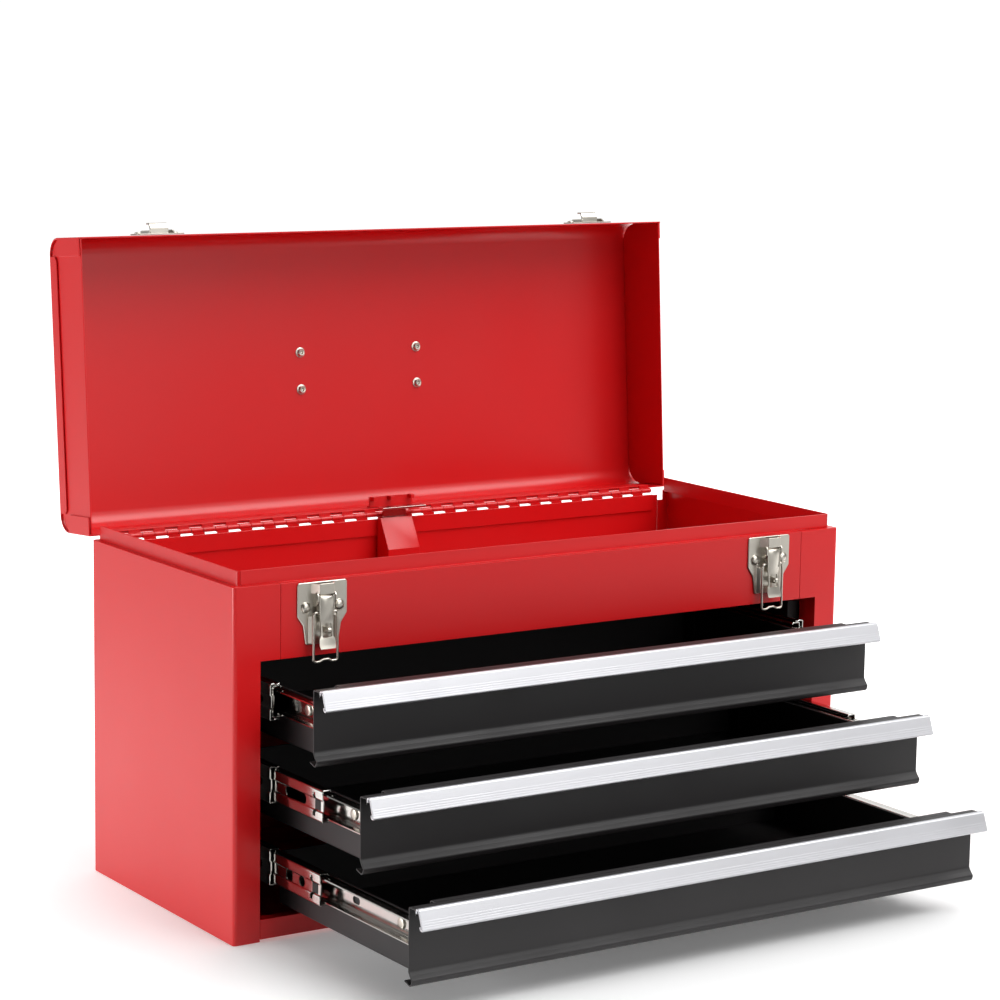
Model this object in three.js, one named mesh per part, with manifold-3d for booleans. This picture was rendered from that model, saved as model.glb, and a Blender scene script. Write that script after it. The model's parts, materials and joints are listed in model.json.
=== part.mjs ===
// Portable steel tool chest: flip-up lid over an open top compartment, three ball-bearing drawers.
// Millimetres, +Z up, front faces -Y. Origin: centre of the base, on the surface the chest stands on.
// Everything is drawn closed, then the lid is turned and the drawers are drawn out to the rest pose.
import * as THREE from 'three';
import Module from 'manifold-3d';

// ---------- driving dimensions ----------
const SHEET = 1;                    // sheet steel thickness
const GAP = 0.3;                    // clearance between neighbouring pieces

const WIDTH = 510;                  // cabinet, outside
const DEPTH = 213;
const SHOULDER = 243;               // height of the outer walls
const BODY_RADIUS = 2.5;            // vertical outside corners
const INNER_RADIUS = 0.6;           // the same corners, inside
const RIM_INSET = 5;                // joggled rim the lid closes over
const RIM_HEIGHT = 10;
const RIM_BACK = 104.5;
const RIM_SPLIT = 247.5;            // front rim ends here, the corner belongs to the side
const BACK_TOP = 239.4;             // top of the back panel, under the hinge
const BACK_FLANGE = 244;            // side panels wrap round the back to here
const STILE_INNER = 235;            // drawer opening, half width
const STILE_RETURN = 18;            // inward fold along the opening
const UPPER_PANEL_HALF = 220;       // upper front panel, half width
const OPENING_TOP = 192;
const OPENING_BOTTOM = 15.3;
const HEM = 8;
const BASE_STEP = 1.7;              // base lifts to this height behind its front lip
const FLOOR_Z = 194;                // top compartment floor

const DRAWER_BOTTOMS = [133.8, 77.2, 20.6];
const DRAWER_OUT = [65, 125, 184.5];    // how far each drawer stands out at rest
const MIDDLE_OUT = [0, 67, 64];         // how far each slide's middle member stands out
const FACE_Y = -105.5;              // drawer front, closed
const FACE_HALF = 231;
const FACE_HEIGHT = 51.2;
const BOX_HALF = 213.4;
const BOX_FRONT = -98.6;
const BOX_BACK = 90;
const BOX_HEIGHT = 37;
const LEAF_HALF = 212;

const SLIDE_RISE = 29;              // slide centre line above the drawer bottom
const SLIDE_OUTER_X = 226.4;
const SLIDE_FRONT = -104;
const SLIDE_LENGTH = 200;

const HINGE_Y = 108.4;
const HINGE_Z = 242.8;
const KNUCKLE_RADIUS = 2;
const PIN_RADIUS = 1;
const KNUCKLE_PITCH = 9.85;
const KNUCKLE_COUNT = 48;
const HINGE_LEFT = -234.6;
const HINGE_LEAF_Y = 104;
const LID_OPEN = THREE.MathUtils.degToRad(94.5);

const LID_BOTTOM = 243.3;
const LID_BACK_BOTTOM = 245.1;
const LID_TOP = 293;
const LID_RADIUS = 13;
const LID_LIP = 13;

const LATCH_X = 189;
const LATCH_PIVOT = { y: -112.2, z: 231 };
const BAIL_PIVOT_Z = 222;
const BAIL_BOTTOM = 188.6;
const BAIL_HALF = 9.2;
const BAIL_RADIUS = 0.9;

const HANDLE_X = 51.7;
const LOCK_X = -6;
const LOCK_TRAVEL = 6;

// ---------- colours ----------
const RED = { color: 0xb8161a, roughness: 0.38, metalness: 0.1 };
const BLACK = { color: 0x2a2829, roughness: 0.45, metalness: 0.1 };
const ALUMINIUM = { color: 0xdcdadc, roughness: 0.35, metalness: 0.9 };
const ZINC = { color: 0xc9cac6, roughness: 0.3, metalness: 0.9 };
const NICKEL = { color: 0xb9b4aa, roughness: 0.22, metalness: 0.95 };
const CHROME = { color: 0xd6d8da, roughness: 0.12, metalness: 1 };
const PLASTIC = { color: 0x141414, roughness: 0.5, metalness: 0 };

const wasm = await Module();
wasm.setup();

const chest = new THREE.Group();
chest.name = 'tool_chest';

// ---------- solids ----------
function toSolid(geometry) {
  const source = geometry.index ? geometry : geometry.clone();
  const position = source.attributes.position;
  const seen = new Map();
  const vertices = [];
  const triangles = [];
  const count = source.index ? source.index.count : position.count;
  for (let i = 0; i < count; i += 1) {
    const at = source.index ? source.index.getX(i) : i;
    const point = [position.getX(at), position.getY(at), position.getZ(at)];
    const key = point.map((value) => Math.round(value * 1e4)).join(',');
    if (!seen.has(key)) {
      seen.set(key, vertices.length / 3);
      vertices.push(...point);
    }
    triangles.push(seen.get(key));
  }
  const mesh = new wasm.Mesh({
    numProp: 3,
    vertProperties: new Float32Array(vertices),
    triVerts: new Uint32Array(triangles),
  });
  return new wasm.Manifold(mesh);
}

function toGeometry(solid) {
  const mesh = solid.getMesh();
  const geometry = new THREE.BufferGeometry();
  geometry.setAttribute('position', new THREE.BufferAttribute(mesh.vertProperties.slice(), 3));
  geometry.setIndex(new THREE.BufferAttribute(mesh.triVerts.slice(), 1));
  geometry.computeVertexNormals();
  return geometry;
}

function shapeOf(points) {
  return new THREE.Shape(points.map(([a, b]) => new THREE.Vector2(a, b)));
}

function extruded(points, length) {
  return new THREE.ExtrudeGeometry(shapeOf(points), { depth: length, bevelEnabled: false, steps: 1 });
}

// A (y, z) outline run along X.
function prismX(points, x0, x1) {
  const turn = new THREE.Matrix4().set(0, 0, 1, x0, 1, 0, 0, 0, 0, 1, 0, 0, 0, 0, 0, 1);
  return toSolid(extruded(points, x1 - x0).applyMatrix4(turn));
}

// An (x, z) outline run along Y.
function prismY(points, y0, y1) {
  const turn = new THREE.Matrix4().set(1, 0, 0, 0, 0, 0, -1, y1, 0, 1, 0, 0, 0, 0, 0, 1);
  return toSolid(extruded(points, y1 - y0).applyMatrix4(turn));
}

// An (x, y) outline run along Z.
function prismZ(points, z0, z1) {
  return toSolid(extruded(points, z1 - z0).translate(0, 0, z0));
}

function block(x0, x1, y0, y1, z0, z1) {
  const geometry = new THREE.BoxGeometry(x1 - x0, y1 - y0, z1 - z0);
  geometry.translate((x0 + x1) / 2, (y0 + y1) / 2, (z0 + z1) / 2);
  return toSolid(geometry);
}

function arc(cx, cy, radius, from, to, steps) {
  const points = [];
  for (let i = 0; i <= steps; i += 1) {
    const angle = THREE.MathUtils.degToRad(from + ((to - from) * i) / steps);
    points.push([cx + radius * Math.cos(angle), cy + radius * Math.sin(angle)]);
  }
  return points;
}

function roundedRectangle(x0, x1, y0, y1, radius, steps) {
  return [
    ...arc(x1 - radius, y1 - radius, radius, 0, 90, steps),
    ...arc(x0 + radius, y1 - radius, radius, 90, 180, steps),
    ...arc(x0 + radius, y0 + radius, radius, 180, 270, steps),
    ...arc(x1 - radius, y0 + radius, radius, 270, 360, steps),
  ];
}

// Outline of a folded sheet: the path is one face, the other lies to its left.
function folded(path, thickness) {
  const normals = [];
  for (let i = 0; i < path.length - 1; i += 1) {
    const dx = path[i + 1][0] - path[i][0];
    const dy = path[i + 1][1] - path[i][1];
    const length = Math.hypot(dx, dy);
    normals.push([-dy / length, dx / length]);
  }
  const offset = path.map((point, i) => {
    const before = normals[Math.max(i - 1, 0)];
    const after = normals[Math.min(i, normals.length - 1)];
    const scale = thickness / (1 + before[0] * after[0] + before[1] * after[1]);
    return [point[0] + (before[0] + after[0]) * scale, point[1] + (before[1] + after[1]) * scale];
  });
  return [...path, ...offset.reverse()];
}

function mirrored(points) {
  return points.map(([a, b]) => [-a, b]);
}

function rodX(y, z, radius, x0, x1, sides) {
  return prismX(arc(y, z, radius, 0, 360, sides).slice(0, -1), x0, x1);
}

// A round wire bent along a flat path in an XZ plane.
function wire(path, y, radius, sides) {
  const rings = path.map((point, i) => {
    const before = i > 0 ? path[i - 1] : point;
    const after = i < path.length - 1 ? path[i + 1] : point;
    const along = new THREE.Vector2(after[0] - before[0], after[1] - before[1]).normalize();
    return { point, side: [-along.y, along.x] };
  });
  const vertices = [];
  rings.forEach(({ point, side }) => {
    for (let k = 0; k < sides; k += 1) {
      const angle = (2 * Math.PI * k) / sides;
      const across = radius * Math.cos(angle);
      vertices.push(point[0] + side[0] * across, y + radius * Math.sin(angle), point[1] + side[1] * across);
    }
  });
  const triangles = [];
  for (let i = 0; i < rings.length - 1; i += 1) {
    for (let k = 0; k < sides; k += 1) {
      const next = (k + 1) % sides;
      const a = i * sides + k;
      const b = i * sides + next;
      triangles.push(a, a + sides, b, b, a + sides, b + sides);
    }
  }
  const last = (rings.length - 1) * sides;
  for (let k = 1; k < sides - 1; k += 1) {
    triangles.push(0, k, k + 1);
    triangles.push(last, last + k + 1, last + k);
  }
  const geometry = new THREE.BufferGeometry();
  geometry.setAttribute('position', new THREE.BufferAttribute(new Float32Array(vertices), 3));
  geometry.setIndex(triangles);
  const solid = toSolid(geometry);
  if (solid.volume() > 0) return solid;
  const flipped = [];
  for (let i = 0; i < triangles.length; i += 3) flipped.push(triangles[i], triangles[i + 2], triangles[i + 1]);
  geometry.setIndex(flipped);
  return toSolid(geometry);
}

function lidTurn() {
  return new THREE.Matrix4()
    .makeTranslation(0, HINGE_Y, HINGE_Z)
    .multiply(new THREE.Matrix4().makeRotationX(-LID_OPEN))
    .multiply(new THREE.Matrix4().makeTranslation(0, -HINGE_Y, -HINGE_Z));
}

function add(name, solid, look, place) {
  const geometry = toGeometry(solid);
  if (place) geometry.applyMatrix4(place);
  const mesh = new THREE.Mesh(geometry, new THREE.MeshStandardMaterial(look));
  mesh.name = name;
  chest.add(mesh);
}

function sideName(sign) {
  return sign < 0 ? 'left' : 'right';
}

// ---------- cabinet ----------
// One thin-walled shell, shoulder and rim included, that the outer panels are cut from.
function cabinetShell() {
  const half = WIDTH / 2;
  const front = -DEPTH / 2;
  const rimX = half - RIM_INSET;
  const rimY = front + RIM_INSET;
  const outer = prismZ(roundedRectangle(-half, half, front, -front, BODY_RADIUS, 3), 0, SHOULDER);
  const rim = prismZ(roundedRectangle(-rimX, rimX, rimY, 150, 2, 2), SHOULDER - 5, SHOULDER + RIM_HEIGHT);
  const hollow = prismZ(
    roundedRectangle(-half + SHEET, half - SHEET, front + SHEET, -front - SHEET, INNER_RADIUS, 2),
    -1,
    SHOULDER - SHEET,
  );
  const throat = prismZ(
    roundedRectangle(-rimX + SHEET, rimX - SHEET, rimY + SHEET, 160, 1, 2),
    SHOULDER - 8,
    SHOULDER + RIM_HEIGHT + 1,
  );
  const behind = block(-300, 300, -front, 200, SHOULDER - 6, 300);
  const rimEnd = block(-300, 300, RIM_BACK, 200, SHOULDER, 300);
  const backTop = block(-rimX + SHEET, rimX - SHEET, 90, 200, BACK_TOP, 300);
  return outer.add(rim).subtract(hollow).subtract(throat).subtract(behind).subtract(rimEnd).subtract(backTop);
}

function frontCut() {
  return block(-STILE_INNER, STILE_INNER, -120, -90, -1, OPENING_TOP);
}

function sidePanel(shell, sign) {
  const half = WIDTH / 2 + 1;
  const rimZ = SHOULDER + GAP;
  const wall = sign < 0 ? block(-half, -STILE_INNER, -120, 120, -1, 300) : block(STILE_INNER, half, -120, 120, -1, 300);
  const x0 = UPPER_PANEL_HALF + GAP / 2;
  const stile = sign < 0 ? block(-half, -x0, -120, -100, OPENING_TOP, 300) : block(x0, half, -120, -100, OPENING_TOP, 300);
  const frontRim = block(-RIM_SPLIT - GAP, RIM_SPLIT + GAP, -120, -90, SHOULDER, 300);
  const backPanel = block(-BACK_FLANGE, BACK_FLANGE, 100, 120, -1, 300);
  const edge = -DEPTH / 2;
  const fold = [
    [sign * STILE_INNER, edge + SHEET / 2],
    [sign * (STILE_INNER + SHEET), edge + SHEET / 2],
    [sign * (STILE_INNER + SHEET), edge + STILE_RETURN],
    [sign * STILE_INNER, edge + STILE_RETURN],
  ];
  return shell
    .intersect(wall.add(stile))
    .subtract(frontRim)
    .subtract(backPanel)
    .subtract(block(-300, 300, RIM_BACK, 200, rimZ, 300))
    .add(prismZ(fold, OPENING_BOTTOM + 1, OPENING_TOP - 1));
}

function upperFrontPanel(shell) {
  const x = UPPER_PANEL_HALF - GAP / 2;
  const edge = -DEPTH / 2;
  const face = block(-x, x, -120, -90, OPENING_TOP, 300);
  const rim = block(-RIM_SPLIT, RIM_SPLIT, -120, -90, SHOULDER + GAP, 300);
  const hem = block(-x, x, edge + SHEET / 2, edge + SHEET + HEM, OPENING_TOP, OPENING_TOP + SHEET);
  return shell.intersect(face.add(rim)).add(hem);
}

function backPanel() {
  return block(-BACK_FLANGE + GAP, BACK_FLANGE - GAP, DEPTH / 2 - SHEET, DEPTH / 2, 0, BACK_TOP);
}

// Pan with a front lip that closes the bottom of the drawer opening.
function basePanel() {
  const front = -DEPTH / 2;
  const back = DEPTH / 2 - SHEET - GAP;
  const path = [
    [front + HEM, OPENING_BOTTOM],
    [front, OPENING_BOTTOM],
    [front, BASE_STEP],
    [front + 9.5, BASE_STEP],
    [front + 11.5, 0],
    [back, 0],
    [back, 12],
  ];
  const wide = WIDTH / 2 - SHEET - GAP;
  const narrow = STILE_INNER - GAP;
  const lip = block(-narrow, narrow, -120, 120, -1, 20);
  const pan = block(-wide, wide, front + SHEET + GAP, 120, -1, 14);
  const whole = prismX(folded(path, SHEET), -wide, wide);
  const belowReturn = block(narrow, wide + 1, -120, front + STILE_RETURN + 1, 12, 20);
  const belowReturnLeft = block(-wide - 1, -narrow, -120, front + STILE_RETURN + 1, 12, 20);
  return whole.intersect(lip.add(pan)).subtract(belowReturn).subtract(belowReturnLeft);
}

function compartmentFloor() {
  const front = -DEPTH / 2 + SHEET + GAP;
  const back = -front;
  const wide = WIDTH / 2 - SHEET - GAP;
  const path = [[front, FLOOR_Z + 10], [front, FLOOR_Z], [back, FLOOR_Z], [back, FLOOR_Z + 10]];
  const slot = block(LOCK_X - 16, LOCK_X + 16, 96, 120, FLOOR_Z - 1, FLOOR_Z + 20);
  return prismX(folded(path, SHEET), -wide, wide).subtract(slot);
}

// Corrugated post plate the fixed slide members are screwed to.
function slideMount(sign) {
  const wallX = -(WIDTH / 2 - SHEET - GAP);
  const crestX = -(SLIDE_OUTER_X + 0.4);
  const crest = (y) => [[wallX, y - 14], [crestX - 0.8, y - 12], [crestX - 0.8, y + 12], [wallX, y + 14]];
  const path = [[wallX, -96], ...crest(-72), ...crest(72), [wallX, 96]];
  const outline = folded([...path].reverse(), 0.8);
  const points = sign < 0 ? outline : mirrored(outline);
  return prismZ(points, 17, 186);
}

// ---------- slides ----------
// Each member's section is drawn for the left side, as (x, z) from the slide centre line.
function outerSection() {
  const x = -SLIDE_OUTER_X;
  return folded([[x + 7, 12.6], [x + 5.2, 11.9], [x + 3.6, 12.6], [x, 12.6], [x, 4.6], [x + 1, 3.8],
    [x + 1, -3.8], [x, -4.6], [x, -12.6], [x + 3.6, -12.6], [x + 5.2, -11.9], [x + 7, -12.6]], 0.9);
}

function middleSection() {
  const x = -SLIDE_OUTER_X + 2.2;
  return folded([[x + 7.4, 9.4], [x + 6.6, 10.9], [x + 4, 10.9], [x, 10.9], [x, 4.2], [x + 0.8, 3.4],
    [x + 0.8, -3.4], [x, -4.2], [x, -10.9], [x + 4, -10.9], [x + 6.6, -10.9], [x + 7.4, -9.4]], 0.9);
}

function innerSection() {
  const x = -BOX_HALF - GAP;
  return folded([[x - 8.2, -8], [x - 5.4, -7.3], [x - 3.4, -8], [x, -8],
    [x, 8], [x - 3.4, 8], [x - 5.4, 7.3], [x - 8.2, 8]], 0.9);
}

function member(section, sign, centre, y0, y1) {
  const outline = sign < 0 ? section : mirrored(section);
  return prismY(outline.map(([x, z]) => [x, z + centre]), y0, y1);
}

function slidePair(index) {
  const centre = DRAWER_BOTTOMS[index] + SLIDE_RISE;
  const back = SLIDE_FRONT + SLIDE_LENGTH;
  const number = index + 1;
  const middleShift = new THREE.Matrix4().makeTranslation(0, -MIDDLE_OUT[index], 0);
  const drawerShift = new THREE.Matrix4().makeTranslation(0, -DRAWER_OUT[index], 0);
  for (const sign of [-1, 1]) {
    const side = sideName(sign);
    const outer = member(outerSection(), sign, centre, SLIDE_FRONT, back);
    const middle = member(middleSection(), sign, centre, SLIDE_FRONT + 1, back - 12);
    const inner = member(innerSection(), sign, centre, SLIDE_FRONT + 0.2, back - 4);
    add(`slide_outer_${number}_${side}`, outer, ZINC);
    add(`slide_middle_${number}_${side}`, middle, ZINC, middleShift);
    add(`slide_inner_${number}_${side}`, inner, ZINC, drawerShift);
  }
}

// ---------- drawers ----------
function drawerBox(bottom) {
  const outer = block(-BOX_HALF, BOX_HALF, BOX_FRONT, BOX_BACK, bottom, bottom + BOX_HEIGHT);
  const inner = block(
    -BOX_HALF + SHEET, BOX_HALF - SHEET, BOX_FRONT + SHEET, BOX_BACK - SHEET,
    bottom + SHEET, bottom + BOX_HEIGHT + 5,
  );
  return outer.subtract(inner);
}

// Face, rolled lower lip and the top flange the pull clips over.
function drawerFront(bottom) {
  const y = FACE_Y;
  const top = bottom + FACE_HEIGHT;
  const facePath = [
    [y + 5.4, bottom + 1.9],
    [y - 0.8, bottom],
    [y - 3.2, bottom + 1.3],
    [y - 4.3, bottom + 4.4],
    [y - 1.6, bottom + 7.2],
    [y, bottom + 9.6],
    [y, top - 0.5],
  ];
  const face = prismX(folded(facePath.reverse(), SHEET), -FACE_HALF, FACE_HALF);
  const flangePath = [[y - 7.7, top - 4], [y - 7.7, top], [y + 6.5, top]];
  const flange = prismX(folded(flangePath.reverse(), SHEET), -FACE_HALF, FACE_HALF);
  const leaf = block(-LEAF_HALF, LEAF_HALF, y + 5.5, y + 6.5, bottom + 28, top - 0.5);
  return face.add(flange).add(leaf);
}

function drawerPull(bottom) {
  const y = FACE_Y;
  const top = bottom + FACE_HEIGHT;
  const path = [
    [y - 12.4, top - 9.8],
    [y - 13.4, top - 11.9],
    [y - 15.6, top - 12.4],
    [y - 16.4, top - 11.2],
    [y - 12, top + 0.4],
    [y - 11, top + 1.1],
    [y - 8, top + 1.1],
    [y - 8, top - 2.4],
  ];
  return prismX(folded([...path].reverse(), 1.3), -FACE_HALF - 0.5, FACE_HALF + 0.5);
}

function drawer(index) {
  const bottom = DRAWER_BOTTOMS[index];
  const number = index + 1;
  const shift = new THREE.Matrix4().makeTranslation(0, -DRAWER_OUT[index], 0);
  add(`drawer_box_${number}`, drawerBox(bottom), BLACK, shift);
  add(`drawer_front_${number}`, drawerFront(bottom), BLACK, shift);
  add(`drawer_pull_${number}`, drawerPull(bottom), ALUMINIUM, shift);
  slidePair(index);
}

// ---------- hinge ----------
// A leaf with every second knuckle; first says which knuckle it starts on.
function hingeLeaf(first, leafLow, leafHigh, bridgeLow) {
  const right = HINGE_LEFT + KNUCKLE_PITCH * KNUCKLE_COUNT;
  let leaf = block(HINGE_LEFT, right, HINGE_LEAF_Y, HINGE_LEAF_Y + SHEET, leafLow, leafHigh);
  const stemLow = Math.min(leafHigh - 0.5, bridgeLow);
  const stemHigh = Math.max(leafLow + 0.5, bridgeLow + SHEET);
  for (let i = first; i < KNUCKLE_COUNT; i += 2) {
    const x0 = HINGE_LEFT + KNUCKLE_PITCH * i + GAP / 2;
    const x1 = x0 + KNUCKLE_PITCH - GAP;
    const stem = block(x0, x1, HINGE_LEAF_Y, HINGE_LEAF_Y + SHEET, stemLow, stemHigh);
    const bridge = block(x0, x1, HINGE_LEAF_Y, HINGE_Y - 1.2, bridgeLow, bridgeLow + SHEET);
    const barrel = rodX(HINGE_Y, HINGE_Z, KNUCKLE_RADIUS, x0, x1, 8);
    leaf = leaf.add(stem).add(bridge).add(barrel);
  }
  const bore = rodX(HINGE_Y, HINGE_Z, PIN_RADIUS + GAP, HINGE_LEFT - 1, right + 1, 6);
  return leaf.subtract(bore);
}

function hinge() {
  const right = HINGE_LEFT + KNUCKLE_PITCH * KNUCKLE_COUNT;
  const fixed = hingeLeaf(0, 227.3, BACK_TOP, HINGE_Z - KNUCKLE_RADIUS);
  const moving = hingeLeaf(1, LID_BACK_BOTTOM, LID_BACK_BOTTOM + 12, HINGE_Z + KNUCKLE_RADIUS - SHEET);
  add('hinge_leaf_cabinet', fixed, RED);
  add('hinge_leaf_lid', moving, RED, lidTurn());
  add('hinge_pin', rodX(HINGE_Y, HINGE_Z, PIN_RADIUS, HINGE_LEFT - 1, right + 1, 6), ZINC);
}

// ---------- lid ----------
// Outline of the lid section shrunk by an inset, from front foot to back foot.
function lidPath(inset) {
  const y = DEPTH / 2 - inset;
  const radius = Math.max(LID_RADIUS - inset, 2);
  const top = LID_TOP - inset;
  return [
    [y, LID_BACK_BOTTOM],
    ...arc(y - radius, top - radius, radius, 0, 90, 6),
    ...arc(-y + radius, top - radius, radius, 90, 180, 6),
    [-y, LID_BOTTOM],
  ];
}

function lidShell() {
  const half = WIDTH / 2;
  const wrapper = prismX(folded(lidPath(0), SHEET), -half, half);
  const endFrame = (x0, x1) => prismX(lidPath(0.1), x0, x1)
    .subtract(prismX([...lidPath(LID_LIP), [-DEPTH / 2 + LID_LIP, 200], [DEPTH / 2 - LID_LIP, 200]], x0 - 1, x1 + 1));
  return wrapper.add(endFrame(-half, -half + SHEET)).add(endFrame(half - SHEET, half));
}

function lidEnd(sign) {
  const outside = WIDTH / 2 - SHEET - GAP;
  const inside = outside - SHEET;
  const outline = lidPath(SHEET + GAP);
  return sign < 0 ? prismX(outline, -outside, -inside) : prismX(outline, inside, outside);
}

// Strike on the lid that the latch bail hooks over.
function catchPlate(sign) {
  const x = sign * LATCH_X;
  const y = -DEPTH / 2 - GAP;
  const plate = block(x - 19, x + 19, y - SHEET, y, LID_BOTTOM + 0.5, LID_BOTTOM + 14.7);
  const hookPath = [
    [y - SHEET / 2, LID_BOTTOM + 4.2],
    [y - 5, LID_BOTTOM + 4.2],
    [y - 8.6, LID_BOTTOM + 6.4],
    [y - 8.6, LID_BOTTOM + 10.6],
  ];
  const hook = prismX(folded([...hookPath].reverse(), 1.2), x - 7.5, x + 7.5);
  const rib = (from, to) => block(x + from, x + to, y - 3.4, y - SHEET / 2, LID_BOTTOM + 0.5, LID_BOTTOM + 14.7);
  return plate.add(hook).add(rib(-11, -9.4)).add(rib(9.4, 11));
}

function handleBracket(sign) {
  const x = sign * HANDLE_X;
  const z = LID_TOP + GAP;
  const path = [
    [-20, z], [-10.6, z], [-10.2, z + 12], [-8.2, z + 14.6],
    [8.2, z + 14.6], [10.2, z + 12], [10.6, z], [20, z],
  ];
  return prismX(folded(path, 1.2), x - 8, x + 8);
}

// Arched strap; the wide ends stop it slipping through the brackets.
function handleGrip() {
  const z = LID_TOP + GAP;
  const under = [[68, 0.3], [44, 0.3], [38, 3.5], [32, 10.5], [22, 14.2], [0, 15.2]];
  const over = [[68, 5.8], [46, 5.8], [40.5, 9.4], [35, 18.2], [24, 23], [0, 24.4]];
  const half = [...over.map(([x, h]) => [x, z + h]), ...under.map(([x, h]) => [x, z + h]).reverse()];
  const left = mirrored(half);
  const strap = prismY(half, -8.5, 8.5).add(prismY(left, -8.5, 8.5));
  const stops = block(-68, -61, -10.5, 10.5, z + 0.3, z + 7).add(block(61, 68, -10.5, 10.5, z + 0.3, z + 7));
  return strap.add(stops);
}

function lid() {
  const turn = lidTurn();
  add('lid_shell', lidShell(), RED, turn);
  for (const sign of [-1, 1]) {
    const side = sideName(sign);
    add(`lid_end_${side}`, lidEnd(sign), RED, turn);
    add(`catch_${side}`, catchPlate(sign), NICKEL, turn);
    add(`handle_bracket_${side}`, handleBracket(sign), CHROME, turn);
  }
  add('handle_grip', handleGrip(), PLASTIC, turn);
  add('lock_pusher', lockPusher(), RED, turn);
}

// ---------- drawer lock ----------
function lockCover() {
  const x0 = LOCK_X - 14;
  const x1 = LOCK_X + 14;
  const low = FLOOR_Z + SHEET + GAP;
  const outer = [[103.7, low], [87.1, low], [87.1, 219], [99.3, 241.5], [103.7, 241.5]];
  const inner = [[110, low - 1], [88.1, low - 1], [88.1, 219.3], [100.3, 241.6], [100.3, 250], [110, 250]];
  return prismX(outer, x0, x1).subtract(prismX(inner, x0 + SHEET, x1 - SHEET));
}

// Sliding bar with one hook above the back wall of each drawer.
function lockBar() {
  const x0 = LOCK_X - 10;
  const x1 = LOCK_X + 10;
  const y0 = 101.5;
  const y1 = 103;
  let bar = block(x0, x1, y0, y1, 50, 249.5);
  for (const bottom of DRAWER_BOTTOMS) {
    const arm = bottom + BOX_HEIGHT + LOCK_TRAVEL + 0.6;
    bar = bar.add(block(x0, x1, 83.5, y1, arm, arm + 1.5));
    bar = bar.add(block(x0, x1, 83.5, 85, arm - 5, arm + 1));
  }
  return bar.add(block(LOCK_X - 14, LOCK_X + 24, 95, y1, 248, 249.5));
}

// Bracket in the lid that presses the lock bar down as the lid shuts.
function lockPusher() {
  const low = SHOULDER + 1;
  let pusher = block(LOCK_X - 14, LOCK_X + 24, 95.5, 103.7, low + 5, low + 6.2);
  pusher = pusher.add(block(LOCK_X - 14, LOCK_X + 24, 102.5, 103.7, low + 5, low + 9.6));
  for (const x of [-13, 2, 20]) {
    pusher = pusher.add(block(LOCK_X + x, LOCK_X + x + 3, 95.5, 98.5, low, low + 5.5));
  }
  return pusher;
}

// ---------- latches ----------
function latchBase(sign) {
  const x = sign * LATCH_X;
  const back = -DEPTH / 2 - GAP;
  const half = [[19, 242], [19, 219.5], [14.5, 213], [12.5, 199.8]];
  const outline = [...half, ...mirrored(half).reverse()].map(([a, b]) => [a + x, b]);
  const plate = prismY(outline, back - SHEET, back);
  const ear = (from, to) => block(x + from, x + to, -114.4, back - SHEET / 2, 227, 235.2);
  const bore = rodX(LATCH_PIVOT.y, LATCH_PIVOT.z, PIN_RADIUS + GAP, x - 10, x + 10, 8);
  const staple = block(x - 1.2, x + 1.2, -118, back - SHEET / 2, 208, 212);
  const eye = rodX(-116, 210, 1.1, x - 3, x + 3, 8);
  return plate.add(ear(-7.2, -6.2)).add(ear(6.2, 7.2)).add(staple).subtract(bore).subtract(eye);
}

function latchLever(sign) {
  const x = sign * LATCH_X;
  const half = [[5.8, 234], [5.8, 217], [4.4, 213], [4.4, 206], [6.2, 203.5], [6.2, 198.8], [5.2, 197.6]];
  const outline = [...half, ...mirrored(half).reverse()].map(([a, b]) => [a + x, b]);
  const tongue = prismY(outline, -114.9, -113.7);
  const cheekOutline = [
    [-114.2, 219.4], [-110.8, 219.4], [-110.2, 222], [-110.2, 231], [-110.8, 233.4], [-114.2, 234],
  ];
  const cheek = (from, to) => prismX(cheekOutline, x + from, x + to);
  const tip = prismX([[-114.9, 198.8], [-114.9, 200.5], [-116.6, 198.4], [-116, 197.6], [-114.2, 197.6]], x - 5.2, x + 5.2);
  const pivot = rodX(LATCH_PIVOT.y, LATCH_PIVOT.z, PIN_RADIUS + GAP, x - 10, x + 10, 8);
  const bailHole = rodX(LATCH_PIVOT.y, BAIL_PIVOT_Z, BAIL_RADIUS + GAP, x - 10, x + 10, 8);
  const slot = block(x - 1.8, x + 1.8, -120, -110, 206.2, 213);
  return tongue.add(cheek(-5.8, -4.8)).add(cheek(4.8, 5.8)).add(tip)
    .subtract(pivot).subtract(bailHole).subtract(slot);
}

function latchBail(sign) {
  const x = sign * LATCH_X;
  const bend = 1.6;
  const left = [
    [-4.9, BAIL_PIVOT_Z],
    ...arc(-BAIL_HALF + bend, BAIL_PIVOT_Z - bend, bend, 90, 180, 3),
    ...arc(-BAIL_HALF + bend, BAIL_BOTTOM + bend, bend, 180, 270, 3),
  ];
  const path = [...left, ...mirrored(left).reverse()].map(([a, b]) => [a + x, b]);
  return wire(path, LATCH_PIVOT.y, BAIL_RADIUS, 8);
}

function latches() {
  for (const sign of [-1, 1]) {
    const side = sideName(sign);
    const x = sign * LATCH_X;
    add(`latch_base_${side}`, latchBase(sign), NICKEL);
    add(`latch_lever_${side}`, latchLever(sign), NICKEL);
    add(`latch_bail_${side}`, latchBail(sign), NICKEL);
    add(`latch_pin_${side}`, rodX(LATCH_PIVOT.y, LATCH_PIVOT.z, PIN_RADIUS, x - 7.6, x + 7.6, 8), NICKEL);
  }
}

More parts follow.
